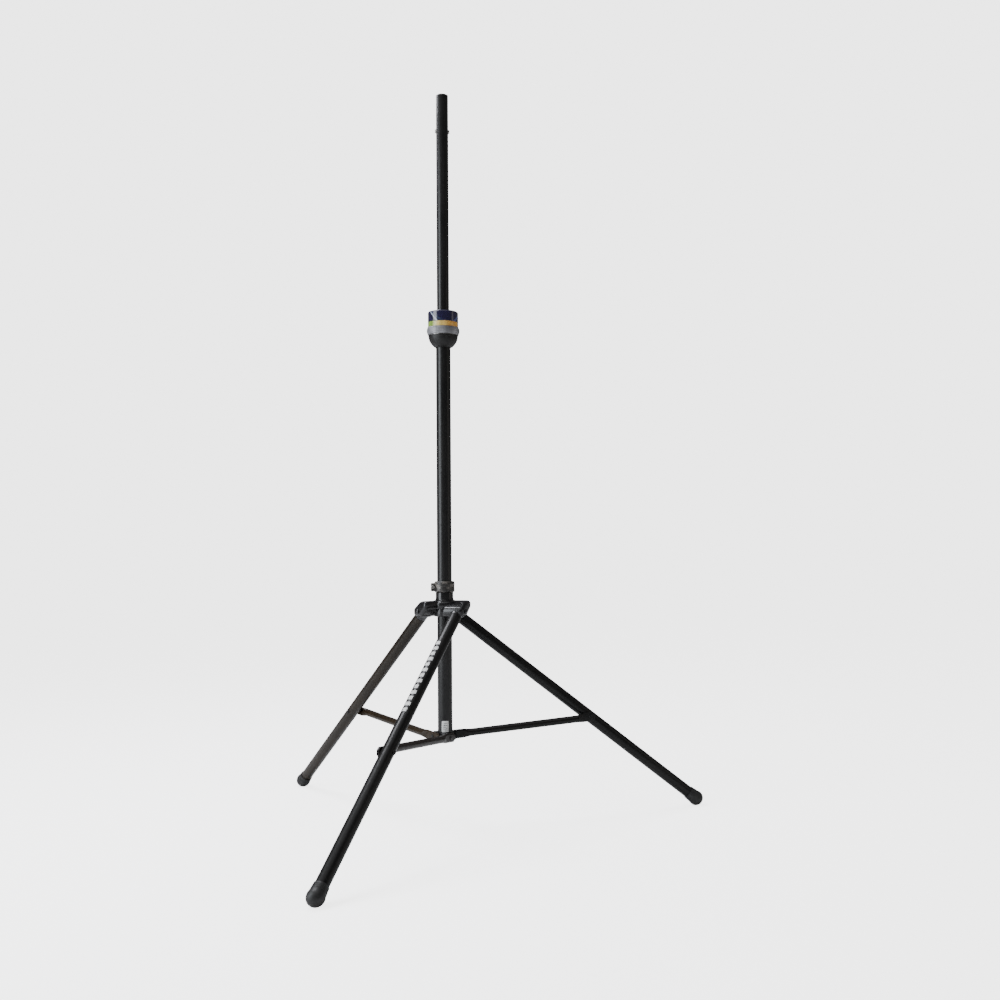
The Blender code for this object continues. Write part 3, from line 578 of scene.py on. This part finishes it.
def put(obj, name, material, body, node=None, place=None):
    """Name a piece, place its mesh, and let it ride its body and stand for its CAD node."""
    obj.name = name
    if place is not None:
        obj.data.transform(place)
    obj.data.materials.clear()
    obj.data.materials.append(material)
    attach(obj, body)
    if node:
        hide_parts(node)
    return obj


def keep_node(node, material):
    """A CAD node whose shape is right only gets its material."""
    mesh = frame["nodes"][node].data
    mesh.materials.clear()
    mesh.materials.append(material)
    mesh.shade_smooth()
    mesh.set_sharp_from_angle(angle=radians(30))


def span_z(node):
    low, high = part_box(node)
    return low.z, high.z


def radius_of(node):
    low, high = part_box(node)
    return (high.y - low.y) / 2


def local_span(node, place):
    """Lowest and highest corner of a CAD node in another frame."""
    back = place.inverted()
    points = [back @ vertex.co for vertex in frame["nodes"][node].data.vertices]
    return (Vector([min(p[i] for p in points) for i in range(3)]),
            Vector([max(p[i] for p in points) for i in range(3)]))


def hinge_place(joint, node, down):
    """A frame on a hinge: Y along the pin, and -Z (or +X) towards the node's middle."""
    origin = Vector(JOINTS[joint]["pos_m"])
    pin = Vector(JOINTS[joint]["axis"]).normalized()
    low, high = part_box(node)
    run = (low + high) / 2 - origin
    run = (run - pin * run.dot(pin)).normalized()
    if not down:
        pin = -pin
    z_axis = -run if down else run.cross(pin)
    x_axis = pin.cross(z_axis)
    rotation = Matrix((x_axis, pin, z_axis)).transposed().to_4x4()
    return Matrix.Translation(origin) @ rotation


def bolt_place(node, pin_axis):
    """A frame at the middle of a bolt's node with Z along the pin, towards its head."""
    low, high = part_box(node)
    turn = pin_axis.normalized().to_track_quat("Z", "Y").to_matrix().to_4x4()
    return Matrix.Translation((low + high) / 2) @ turn


# ------------------------------------ tube, pole and collar

def make_tube(material):
    bottom, top = span_z("outer_tube")
    radius = radius_of("outer_tube")
    put(sleeve("tube", radius - TUBE_WALL, radius, bottom, top), "tube_shell", material, "tube",
        "outer_tube", TO_AXIS)


def make_pole(material):
    """The sliding pole with its two button holes."""
    bottom, top = span_z("inner_pole")
    radius = radius_of("inner_pole")
    pole = sleeve("pole", radius - POLE_WALL, radius, bottom, top)
    height = sum(span_z("spring_button_1")) / 2
    hole = rod(BUTTON_HOLE_RADIUS, (-0.03, 0, height), (0.03, 0, height), 32)
    smooth(boolean(pole, hole, "DIFFERENCE"))
    put(pole, "pole_shell", material, "pole", "inner_pole", TO_AXIS)


def make_button(number, body, material):
    """A domed button with a flange inside the pole."""
    node = "spring_button_%d" % number
    low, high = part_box(node)
    side = 1 if (low.x + high.x) / 2 > AXIS.x else -1
    tip = max(abs(low.x - AXIS.x), abs(high.x - AXIS.x))
    radius, dome, steps = 0.0058, 0.0020, 4
    outline = [(0, 0.0123), (0.0071, 0.0123), (0.0072, 0.0126), (0.0072, 0.0131), (radius, 0.0132)]
    outline += [(radius - dome + dome * cos(a), tip - dome + dome * sin(a))
                for a in [pi / 2 * i / steps for i in range(steps + 1)]]
    outline.append((0, tip))
    height = Matrix.Translation((0, 0, (low.z + high.z) / 2))
    place = TO_AXIS @ height @ Matrix.Rotation(side * pi / 2, 4, "Y")
    put(solid_of_turning("button", outline, 32), "button_dome_%d" % number, material, body, node,
        place)


def make_end_cap(material):
    """The pole's plug, with a shallow dish in its top."""
    bottom, top = span_z("pole_end_cap")
    radius = radius_of("pole_end_cap")
    outline = [(0, bottom), (radius - 0.0005, bottom), (radius, bottom + 0.0005), (radius, top - 0.0008),
               (radius - 0.0008, top), (0.0090, top), (0.0084, top - 0.0012), (0, top - 0.0012)]
    put(solid_of_turning("cap", outline), "tip_plug", material, "pole", "pole_end_cap",
        TO_AXIS)


def make_bowl(material):
    """The collar's black bowl, which sits over the tube's top and holds the jaw."""
    bottom, top = span_z("collar_housing")
    bore = radius_of("outer_tube") + GAP
    shelf = span_z("outer_tube")[1] + GAP
    pocket = span_z("collar_collet")[0] - GAP
    lip, waist, rim, steps = 0.0427, 0.0235, 0.0050, 12
    throat, seat = 0.0182, 0.0262
    bowl = [(lip, top), (lip - 0.0006, top - rim)]
    for i in range(1, steps):
        t = i / steps
        radius = waist + (lip - 0.0010 - waist) * cos(t * pi / 2) ** 0.86
        bowl.append((radius, top - rim - (top - rim - bottom) * t))
    bowl += [(waist, bottom + 0.0012), (waist - 0.0008, bottom), (bore, bottom), (bore, shelf),
             (throat, shelf), (throat, pocket), (seat, pocket), (seat, top)]
    put(turned("bowl", bowl, 128, corner=0.0003), "collar_bowl", material, "tube", "collar_housing",
        TO_AXIS)


def make_grip_ring(material):
    bottom, top = span_z("collar_ring")

    def rib(angle, radius, height):
        if radius < GRIP_OUTSIDE:
            return 0.0
        fade = min(1.0, (height - bottom) / GRIP_RIB_FADE, (top - height) / GRIP_RIB_FADE)
        return -GRIP_RIB_DEPTH * fade * (0.5 + 0.5 * cos(GRIP_RIBS * angle)) ** 3

    belly = [(0.0448, top), (0.0452, top - 0.0012), (0.0460, top - 0.0030), (0.0467, top - 0.0055),
             (0.0471, top - 0.0090), (0.0470, top - 0.0120), (0.0463, top - 0.0150), (0.0452, top - 0.0180),
             (0.0440, bottom), (0.0300, bottom), (0.0300, top)]
    put(turned("ring", belly, GRIP_RIBS * 12, ripple=rib), "grip_ring", material, "lock", "collar_ring",
        TO_AXIS)


def make_gold_band(material):
    bottom, top = span_z("collar_band")
    put(sleeve("band", 0.0330, radius_of("collar_band"), bottom, top, 128), "gold_band", material, "lock",
        "collar_band", TO_AXIS)


def make_cap(material):
    """The navy cap: a thin cup with a rounded shoulder and a hole for the pole."""
    bottom, top = span_z("collar_cap")
    radius, rounding, wall, steps = radius_of("collar_cap"), 0.0050, 0.0032, 8
    hole = radius_of("inner_pole") + 0.0006
    cap = [(hole, top - 0.0010), (hole + 0.0012, top), (radius - rounding, top)]
    cap += [(radius - rounding + rounding * sin(a), top - rounding + rounding * cos(a))
            for a in [pi / 2 * i / steps for i in range(1, steps + 1)]]
    cap += [(radius, bottom + 0.0006), (radius - 0.0004, bottom), (radius - wall, bottom),
            (radius - wall, top - 2 * wall), (hole, top - 2 * wall)]
    put(turned("cap", cap, 128, corner=0), "navy_cap", material, "lock", "collar_cap", TO_AXIS)


def make_sticker(material):
    """A thin curved sticker with round corners on the front of the tube."""
    bottom, top = span_z("tube_label")
    inner = radius_of("outer_tube") + LABEL_LIFT
    outer = inner + LABEL_THICKNESS
    steps = 28
    bm = bmesh.new()
    columns = []
    for i in range(steps + 1):
        angle = -LABEL_HALF_ANGLE + 2 * LABEL_HALF_ANGLE * i / steps
        from_edge = (LABEL_HALF_ANGLE - abs(angle)) * inner
        inset = 0.0
        if from_edge < LABEL_CORNER:
            inset = LABEL_CORNER - (LABEL_CORNER ** 2 - (LABEL_CORNER - from_edge) ** 2) ** 0.5
        a = LABEL_FACING + angle
        low, high = bottom + inset, top - inset
        corners = ((inner, low), (outer, low), (outer, high), (inner, high))
        columns.append([bm.verts.new((r * cos(a), r * sin(a), z)) for r, z in corners])
    bridge(bm, columns, closed=False)
    put(smooth(new_object(bm, "sticker")), "tube_sticker", material, "tube", "tube_label",
        TO_AXIS)


# ------------------------------------ hub and clamp

def hub_arm(floor, roof, pin_height):
    """One lobe of the hub, a soft block that leans the way its leg does."""
    shoulder, toe, heel, tail_height = 0.0140, 0.0450, 0.0110, 0.0200
    outline = [(ARM_TAIL, roof), (shoulder, roof), (ARM_TIP, pin_height + ARM_TIP_RISE), (toe, floor),
               (heel, floor), (ARM_TAIL, roof - tail_height)]
    return bevel(prism(outline, ARM_NEAR, ARM_FAR), ARM_ROUNDING, 8)


def hub_neck(roof, top):
    """The turned collar on the hub that the clamp band grips."""
    outline = [(0.0300, roof - 0.0060), (0.0262, roof + 0.0016), (0.0250, roof + 0.0046),
               (0.0248, top - 0.0010), (0.0242, top), (0.0215, top), (0.0215, roof - 0.0060)]
    return turned("neck", outline, corner=0.0008)


def arm_cutters(floor, pin):
    """The pin's hole, and the room that a leg's head and tube sweep through from spread to folded."""
    reach, overlap = LEG_HEAD_RADIUS + SLOT_ROOM, 0.0001
    start = Vector((pin.x, (SLOT_NEAR + SLOT_FAR) / 2, pin.z))
    end = start + LEG_REACH * Vector((sin(LEG_SPREAD), 0, -cos(LEG_SPREAD)))
    below = floor - 0.0800
    hole_near, hole_far = 0.0300, 0.0900    # from inside the near cheek to outside the far one
    sweep = [(pin.x - reach, pin.z), (pin.x - reach, below), (end.x, below), (end.x, end.z), (pin.x, pin.z)]
    return (rod(reach, (pin.x, SLOT_NEAR, pin.z), (pin.x, SLOT_FAR, pin.z), 64),
            rod(reach, start, end, 64),
            prism(sweep, SLOT_NEAR - overlap, SLOT_FAR + overlap),
            rod(PIN_HOLE_RADIUS, (pin.x, hole_near, pin.z), (pin.x, hole_far, pin.z), 32))


def make_hub(casting):
    """A barrel with three arms, a rounded web between them, a neck, and slots for the legs."""
    low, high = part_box("hub_casting")
    pin = Vector(JOINTS["leg_1_fold"]["pos_m"]) - AXIS
    floor, roof = low.z + HUB_STEP, pin.z + HUB_ROOF
    turns = [Matrix.Rotation(2 * pi * (leg - 1) / len(LEGS), 4, "Z") for leg in LEGS]
    hub = bevel(rod(BARREL_RADIUS, (0, 0, low.z), (0, 0, roof + HUB_STEP), 96), 0.0030, 4)
    for turn in turns:
        arm = hub_arm(floor, roof, pin.z)
        arm.data.transform(turn)
        boolean(hub, arm, "UNION")
    web_top = roof - EDGE
    web = bevel(rod(WEB_RADIUS, (0, 0, web_top - WEB_HEIGHT), (0, 0, web_top), 96), 0.0100, 8)
    boolean(hub, web, "UNION")
    boolean(hub, hub_neck(roof, high.z), "UNION")
    bore = rod(radius_of("hub_bushing") + GAP, (0, 0, low.z - 0.05), (0, 0, high.z + 0.05), 96)
    boolean(hub, bore, "DIFFERENCE")
    for turn in turns:
        for cutter in arm_cutters(low.z, pin):
            cutter.data.transform(turn)
            boolean(hub, cutter, "DIFFERENCE")
    put(smooth(hub, 35), "hub_body", casting, "hub", "hub_casting", TO_AXIS)


def make_clamp_band(material, screw_height):
    """The split band over the hub's lining, waisted, with a pair of ears."""
    low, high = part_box("clamp_band")
    bore = radius_of("hub_bushing") + GAP
    middle = (low.z + high.z) / 2
    outline = [(0.0262, high.z), (0.0284, high.z - 0.0030), (0.0290, high.z - 0.0070),
               (0.0287, middle + 0.0020), (0.0283, middle), (0.0287, middle - 0.0020),
               (0.0290, low.z + 0.0060), (0.0286, low.z + 0.0030), (0.0272, low.z),
               (bore, low.z), (bore, high.z)]
    band = turned("band", outline, corner=0.0008)
    ears = block((EAR_TIP, -EAR_HALF_WIDTH, low.z + 0.0030), (EAR_ROOT, EAR_HALF_WIDTH, high.z - 0.0046))
    boolean(band, bevel(ears, 0.0028, 5), "UNION")
    split = block((-0.05, -SPLIT_HALF_WIDTH, low.z - 0.01), (-0.01, SPLIT_HALF_WIDTH, high.z + 0.01))
    boolean(band, split, "DIFFERENCE")
    hole = rod(0.0030, (CLAMP_SCREW_PLACE, -0.02, screw_height), (CLAMP_SCREW_PLACE, 0.02, screw_height), 32)
    boolean(band, hole, "DIFFERENCE")
    put(smooth(band, 35), "clamp_ring", material, "hub", "clamp_band", TO_AXIS)


def make_clamp_screw(material, height):
    """A cap screw with a hexagon socket, through both ears."""
    low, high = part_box("clamp_screw")
    face, tip = AXIS.y - low.y, AXIS.y - high.y
    head, shank, under = 0.0051, 0.0026, face - 0.0050
    outline = [(0, face), (head - 0.0005, face), (head, face - 0.0005), (head, under), (shank, under),
               (shank, tip + 0.0006), (shank - 0.0006, tip), (0, tip)]
    screw = solid_of_turning("screw", outline, 48)
    boolean(screw, rod(0.0029, (0, 0, face - 0.0028), (0, 0, face + 0.01), 6), "DIFFERENCE")
    place = TO_AXIS @ Matrix.Translation((CLAMP_SCREW_PLACE, 0, height)) @ Matrix.Rotation(pi / 2, 4, "X")
    put(smooth(screw), "clamp_cap_screw", material, "hub", "clamp_screw", place)


def make_clamp(looks):
    screw_height = sum(span_z("clamp_screw")) / 2
    make_clamp_band(looks["clamp"], screw_height)
    make_clamp_screw(looks["steel"], screw_height)


# ------------------------------------ bolts

def domed_head(radius, height):
    """A round head with a crowned top, standing along Z from 0."""
    crown, steps = height * 0.8, 10
    outline = [(0, 0), (radius, 0)]
    outline += [(radius * cos(a), height - crown + crown * sin(a))
                for a in [pi / 2 * i / steps for i in range(steps)]]
    outline.append((0, height))
    return solid_of_turning("head", outline, 48)


def hex_head(radius, height):
    """A hexagon head with its corners chamfered, standing along Z from 0."""
    head = rod(radius, (0, 0, 0), (0, 0, height), 6)
    cone = rod(radius * 1.30, (0, 0, -0.0001), (0, 0, height), 48, top_radius=radius * 0.84)
    return boolean(head, cone, "INTERSECT")


def make_bolt(node, body, pin_axis, shape, head, shank_radius, material):
    """A bolt that fills its CAD node from head to tip, its head towards the pin axis's end."""
    radius, height = head
    place = bolt_place(node, pin_axis)
    low, high = local_span(node, place)
    bolt = shape(radius, height)
    bolt.data.transform(Matrix.Translation((0, 0, high.z - height)))
    boolean(bolt, rod(shank_radius, (0, 0, low.z), (0, 0, high.z - height / 2), 32), "UNION")
    put(smooth(bolt), node + "_hex", material, body, node, place)


def make_bolts(number, looks):
    """The bolt at a leg's hinge and the two at the ends of its brace."""
    axis = Vector(JOINTS["leg_%d_fold" % number]["axis"])
    make_bolt("leg_pivot_bolt_%d" % number, "hub", axis, domed_head, PIVOT_HEAD, PIVOT_SHANK_RADIUS,
              looks["casting"])
    make_bolt("brace_inner_bolt_%d" % number, "tube", axis, hex_head, BRACE_INNER_HEAD, BRACE_SHANK_RADIUS,
              looks["dark_steel"])
    make_bolt("brace_outer_bolt_%d" % number, "brace_%d" % number, -axis, hex_head, BRACE_OUTER_HEAD,
              BRACE_SHANK_RADIUS, looks["dark_steel"])


# ------------------------------------ legs, with Z up their tubes from the hinge

def make_leg_tube(number, place, radius, material):
    node = "leg_tube_%d" % number
    low, high = local_span(node, place)
    put(sleeve("leg", radius - LEG_WALL, radius, low.z, high.z, 80), "leg_shell_%d" % number, material,
        "leg_%d" % number, node, place)


def make_leg_head(number, place, tube_radius, material):
    """The cast eye on the hinge pin, with a tail that fills the tube's end."""
    node = "leg_head_%d" % number
    low, high = local_span(node, place)
    radius, plug = high.y, tube_radius - LEG_WALL - GAP
    skirt, chamfer = -0.0237, 0.0008
    head = bevel(rod(radius, (0, low.y, 0), (0, high.y, 0), 64), 0.0022, 4)
    outline = [(0, low.z), (plug, low.z), (plug, skirt), (radius - chamfer, skirt), (radius, skirt + chamfer),
               (radius, 0), (0, 0)]
    boolean(head, solid_of_turning("tail", outline), "UNION")
    boolean(head, rod(PIN_HOLE_RADIUS, (0, -0.03, 0), (0, 0.03, 0), 32), "DIFFERENCE")
    put(smooth(head, 35), "leg_eye_%d" % number, material, "leg_%d" % number, node, place)


def make_foot(number, place, tube_radius, material):
    """A rubber foot: a sleeve with three rings over the tube, and a bulb cut flat at the floor."""
    node = "foot_%d" % number
    low, high = local_span(node, place)
    centre = low.z + FOOT_CENTRE
    bore = tube_radius + GAP
    socket_floor = local_span("leg_tube_%d" % number, place)[0].z - GAP
    outline = [(0, socket_floor), (bore, socket_floor), (bore, high.z), (FOOT_SLEEVE - EDGE, high.z),
               (FOOT_SLEEVE, high.z - 0.0005)]
    for ring in range(FOOT_RINGS):
        top = high.z - 0.0050 - ring * FOOT_RING_PITCH
        wide = FOOT_SLEEVE + 0.0004 * (ring + 1)
        outline += [(wide, top), (wide - FOOT_GROOVE, top - 0.0006), (wide - FOOT_GROOVE, top - 0.0016),
                    (wide, top - 0.0022)]
    steps = 20
    outline += [(FOOT_BULB * cos(a), centre + FOOT_BULB * sin(a))
                for a in [radians(20 - 110 * i / steps) for i in range(steps)]]
    outline.append((0, low.z))
    rubber = solid_of_turning("foot", outline, 72)
    floor = block((-0.1, -0.1, -0.2), (0.1, 0.1, 0.0))
    sole = place @ Vector((0, 0, centre))
    floor.data.transform(place.inverted() @ Matrix.Translation((sole.x, sole.y, 0)))
    boolean(rubber, floor, "DIFFERENCE")
    put(smooth(rubber, 35), "foot_bulb_%d" % number, material, "leg_%d" % number, node, place)


def make_brace_nut(number, material):
    """The leg's half of the brace's pin, with a domed end."""
    node = "brace_nut_%d" % number
    place = bolt_place(node, Vector(JOINTS["leg_%d_fold" % number]["axis"]))
    low, high = local_span(node, place)
    top, wide, dome, steps = high.z, 0.0061, 0.0040, 8
    outline = [(0, low.z), (BRACE_SHANK_RADIUS, low.z), (BRACE_SHANK_RADIUS, top - 0.0042),
               (wide, top - 0.0041)]
    outline += [(wide * sin(a) * 0.96, top - dome + dome * cos(a))
                for a in [pi / 2 * i / steps for i in range(steps, 0, -1)]]
    outline.append((0, top))
    put(solid_of_turning("nut", outline, 40), "pin_dome_%d" % number, material, "leg_%d" % number, node,
        place)


def make_leg(number, looks):
    node = "leg_tube_%d" % number
    place = hinge_place("leg_%d_fold" % number, node, down=True)
    low, high = local_span(node, place)
    radius = (high.y - low.y) / 2
    make_leg_tube(number, place, radius, looks["leg"][number])
    make_leg_head(number, place, radius, looks["casting"])
    make_foot(number, place, radius, looks["rubber"])
    make_brace_nut(number, looks["dark_steel"])


def make_leg_marks(material):
    """A row of plain printed bars along the front leg, with no lettering."""
    node = "leg_tube_%d" % MARKED_LEG
    place = hinge_place("leg_%d_fold" % MARKED_LEG, node, down=True)
    low, high = local_span(node, place)
    inner = (high.y - low.y) / 2 + MARK_LIFT
    outer = inner + MARK_THICKNESS
    steps, half = 12, MARK_HEIGHT / 2
    bm = bmesh.new()
    for number in range(MARK_COUNT):
        centre, width = MARK_START - MARK_PITCH * number, MARK_WIDTHS[number % 2]
        columns = []
        for i in range(steps + 1):
            a = MARK_FACING + width * (i / steps - 0.5)
            corners = ((inner, -half), (outer, -half), (outer, half), (inner, half))
            columns.append([bm.verts.new((r * cos(a), r * sin(a), centre + z)) for r, z in corners])
        bridge(bm, columns, closed=False)
    put(smooth(new_object(bm, "marks")), "leg_marks", material, "leg_%d" % MARKED_LEG,
        place=place)


# ------------------------------------ braces

def brace_ring(bm, x, half_height, half_width, shift, power, inset):
    """A ring round the brace: a circle at power 2, squarer above it."""
    wide, tall = half_width - inset, half_height - inset
    ring = []
    for i in range(BRACE_SIDES):
        angle = 2 * pi * i / BRACE_SIDES
        y, z = cos(angle), sin(angle)
        grow = (abs(y) ** power + abs(z) ** power) ** (-1 / power)
        ring.append(bm.verts.new((x, shift + wide * y * grow, tall * z * grow)))
    return ring


def crushed(x, amount, shift, half_height=None):
    """What brace_ring needs at x, where an amount of 1 is flat and 0 is round."""
    wide = BRACE_RADIUS + (FLAT_HALF_WIDTH - BRACE_RADIUS) * amount
    tall = half_height or BRACE_RADIUS + (FLAT_HALF_HEIGHT - BRACE_RADIUS) * amount
    return x, tall, wide, shift * amount, 2 + 3 * amount


def brace_stations(length, lean):
    """From tail to end; the outer flat leans sideways to lie against the leg."""
    eased = [t * t * (3 - 2 * t) for t in [i / BLEND_STEPS for i in range(BLEND_STEPS + 1)]]
    inner_run, outer_run = INNER_ROUND - INNER_FLAT, OUTER_ROUND - OUTER_FLAT
    stations = [crushed(-BRACE_TAIL, 1, 0, CLIPPED_HALF_HEIGHT), crushed(-BRACE_TAIL + BRACE_END / 2, 1, 0),
                crushed(INNER_FLAT * 0.6, 1, 0)]
    stations += [crushed(INNER_FLAT + inner_run * i / BLEND_STEPS, 1 - amount, 0)
                 for i, amount in enumerate(eased)]
    stations += [crushed(length - OUTER_ROUND + outer_run * i / BLEND_STEPS, amount, lean)
                 for i, amount in enumerate(eased)]
    stations += [crushed(length - OUTER_FLAT * 0.6, 1, lean), crushed(length + BRACE_END / 2, 1, lean),
                 crushed(length + BRACE_END, 1, lean, CLIPPED_HALF_HEIGHT)]
    return stations


def make_brace(number, material):
    """A round tube crushed flat at both ends, with clipped corners; the crush blends smoothly."""
    body = "brace_%d" % number
    place = hinge_place("brace_%d_fold" % number, body, down=False)
    length = local_span(body, place)[1].x - BRACE_END
    lean = local_span("brace_outer_bolt_%d" % number, place)[1].y - GAP - FLAT_HALF_WIDTH
    stations = brace_stations(length, lean)
    bm = bmesh.new()
    rings = [brace_ring(bm, *station, 0.0) for station in stations]
    rings += [brace_ring(bm, *station, BRACE_WALL) for station in stations][::-1]
    bridge(bm, rings, closed=True)
    tube = new_object(bm, "brace")
    for x in (0.0, length):
        boolean(tube, rod(BRACE_HOLE_RADIUS, (x, -0.02, 0), (x, 0.02, 0), 32), "DIFFERENCE")
    put(smooth(tube, 40), "brace_tube_%d" % number, material, body, body, place)


# ------------------------------------ stage

def make_stage(material):
    bpy.ops.mesh.primitive_plane_add(size=FLOOR_SIZE, location=(AXIS.x, AXIS.y, 0))
    floor = bpy.context.object
    floor.name = "floor"
    floor.data.materials.append(material)


def make_camera():
    """Yaw, pitch and roll are taken at the camera's own place, which is then turned about the pole."""
    data = bpy.data.cameras.new("camera")
    data.sensor_width = CAMERA_SENSOR
    data.lens = CAMERA_LENS
    data.shift_x = CAMERA_SHIFT
    camera = bpy.data.objects.new("camera", data)
    bpy.context.scene.collection.objects.link(camera)
    yaw, pitch, roll = CAMERA_YAW, CAMERA_PITCH, CAMERA_ROLL
    forward = Vector((sin(yaw) * cos(pitch), cos(yaw) * cos(pitch), -sin(pitch)))
    right = Vector((cos(yaw), -sin(yaw), 0))
    up = right.cross(forward)
    right, up = cos(roll) * right + sin(roll) * up, -sin(roll) * right + cos(roll) * up
    turn = Matrix.Rotation(CAMERA_TURN, 4, "Z")
    rotation = Matrix((right, up, -forward)).transposed().to_4x4()
    position = Matrix.Translation((0, -CAMERA_DISTANCE, CAMERA_HEIGHT))
    camera.matrix_world = TO_AXIS @ turn @ position @ rotation
    bpy.context.scene.camera = camera


def area_light(name, location, target, size, power, color):
    """A soft box, with its place and target taken about the pole as the camera sees it."""
    data = bpy.data.lights.new(name, "AREA")
    data.shape = "RECTANGLE"
    data.size, data.size_y = size
    data.energy = power
    data.color = color
    light = bpy.data.objects.new(name, data)
    bpy.context.scene.collection.objects.link(light)
    turn = Matrix.Rotation(CAMERA_TURN, 4, "Z")
    place = TO_AXIS @ turn @ Vector(location)
    aim = TO_AXIS @ turn @ Vector(target)
    light.rotation_euler = (place - aim).to_track_quat("Z", "Y").to_euler()
    light.location = place


def make_lights():
    area_light("left_strip", (-2.9, -1.3, 1.6), (0, 0, 1.2), (1.6, 3.0), 105, (0.90, 0.95, 1.0))
    area_light("right_fill", (3.6, -0.9, 1.4), (0, 0, 0.9), (0.8, 2.2), 6, (1.0, 0.93, 0.86))
    area_light("overhead", (-1.2, 1.0, 3.5), (0, 0, 0.6), (1.3, 1.3), 95, (0.93, 0.94, 1.0))
    make_sky()
    make_world()


def make_sky():
    """A very wide sun that fills the shadows."""
    sky_data = bpy.data.lights.new("sky", "SUN")
    sky_data.energy = 0.9
    sky_data.angle = radians(70)
    sky = bpy.data.objects.new("sky", sky_data)
    sky.rotation_euler = (radians(12), radians(-14), 0)
    bpy.context.scene.collection.objects.link(sky)


def make_world():
    """A dim surround for the stand, and a pale backdrop for the camera."""
    world = bpy.data.worlds.new("studio")
    world.use_nodes = True
    tree = world.node_tree
    background = tree.nodes["Background"]
    background.inputs["Color"].default_value = (1, 1, 1, 1)
    path = tree.nodes.new("ShaderNodeLightPath")
    level = tree.nodes.new("ShaderNodeMapRange")
    level.inputs["To Min"].default_value = WORLD_LIGHT
    level.inputs["To Max"].default_value = BACKDROP_LIGHT
    tree.links.new(path.outputs["Is Camera Ray"], level.inputs["Value"])
    tree.links.new(level.outputs["Result"], background.inputs["Strength"])
    bpy.context.scene.world = world


# ------------------------------------ everything together

BLACKS = ((0.0040, 0.0040, 0.0042), (0.0095, 0.0090, 0.0088))
# a warm copy of BLACKS: painted warm light on leg 2, whose coating is the same black
WARM_LIGHT_TONES = ((0.0095, 0.0068, 0.0042), (0.0215, 0.0150, 0.0092))
# braces 2 and 3 get warmer and lighter copies of BLACKS: painted light and shade on one black coating
BRACE_LIGHT_TONES = {
    1: BLACKS,
    2: ((0.016, 0.010, 0.005), (0.034, 0.022, 0.012)),
    3: ((0.012, 0.009, 0.008), (0.030, 0.025, 0.022)),
}
KEPT_NODES = {                  # the CAD shapes that are good enough as they are, and their looks
    "bottom_casting": "casting",
    "tube_bumper": "rubber",
    "collar_collet": "plastic",
    "collar_washer": "steel",
    "pole_foot_bushing": "plastic",
    "button_spring": "steel",
    "hub_bushing": "plastic",
    "clamp_nut": "steel",
}


def make_looks():
    along_leg, along_brace, satin = (0.6, 0.6, 0.25), (0.5, 0.5, 1.5), 0.24
    black_leg = coated_tube("leg_coat", *BLACKS, along_leg, gloss=satin)
    # leg 2 gets a warm copy of the black coating: painted warm light
    warm_lit_leg = coated_tube("leg_coat_warm", *WARM_LIGHT_TONES, along_leg, gloss=satin)
    return {
        "tube": coated_tube("tube_coat", *BLACKS),
        "pole": coated_tube("pole_coat", *BLACKS, bare_above=POLE_TOP - 0.0020),
        "leg": {1: black_leg, 2: warm_lit_leg, 3: black_leg},
        # each brace gets its own tone of the black coating: painted light and shade
        "brace": {number: coated_tube("brace_coat_%d" % number, *tones, along_brace, gloss=satin)
                  for number, tones in BRACE_LIGHT_TONES.items()},
        "casting": cast_coating("casting_coat"),
        "plastic": moulded_plastic("black_moulding", (0.005, 0.005, 0.005), (0.012, 0.011, 0.011)),
        "ring": grip_ring("grey_grip"),
        "band": printed_band("gold_print"),
        "cap": printed_cap("navy_print", *span_z("collar_cap")),
        "rubber": rubber_skin("foot_rubber"),
        "steel": plated_steel("plated_steel", (0.30, 0.29, 0.28), (0.55, 0.54, 0.52)),
        "dark_steel": plated_steel("black_oxide", (0.012, 0.012, 0.013), (0.045, 0.043, 0.042), 0.30),
        "clamp": worn_clamp("clamp_coat"),
        "sticker": sticker("sticker_print", *span_z("tube_label")),
        "ink": white_ink("white_ink"),
    }


def main():
    looks = make_looks()
    make_tube(looks["tube"])
    make_pole(looks["pole"])
    make_button(1, "button_right", looks["steel"])
    make_button(2, "button_left", looks["steel"])
    make_end_cap(looks["plastic"])
    make_bowl(looks["plastic"])
    make_grip_ring(looks["ring"])
    make_gold_band(looks["band"])
    make_cap(looks["cap"])
    make_sticker(looks["sticker"])
    make_hub(looks["casting"])
    make_clamp(looks)
    for number in LEGS:
        make_leg(number, looks)
        make_brace(number, looks["brace"][number])
        make_bolts(number, looks)
    make_leg_marks(looks["ink"])
    for node, look in KEPT_NODES.items():
        keep_node(node, looks[look])
    make_stage(studio_floor("studio_floor"))
    make_camera()
    make_lights()


main()
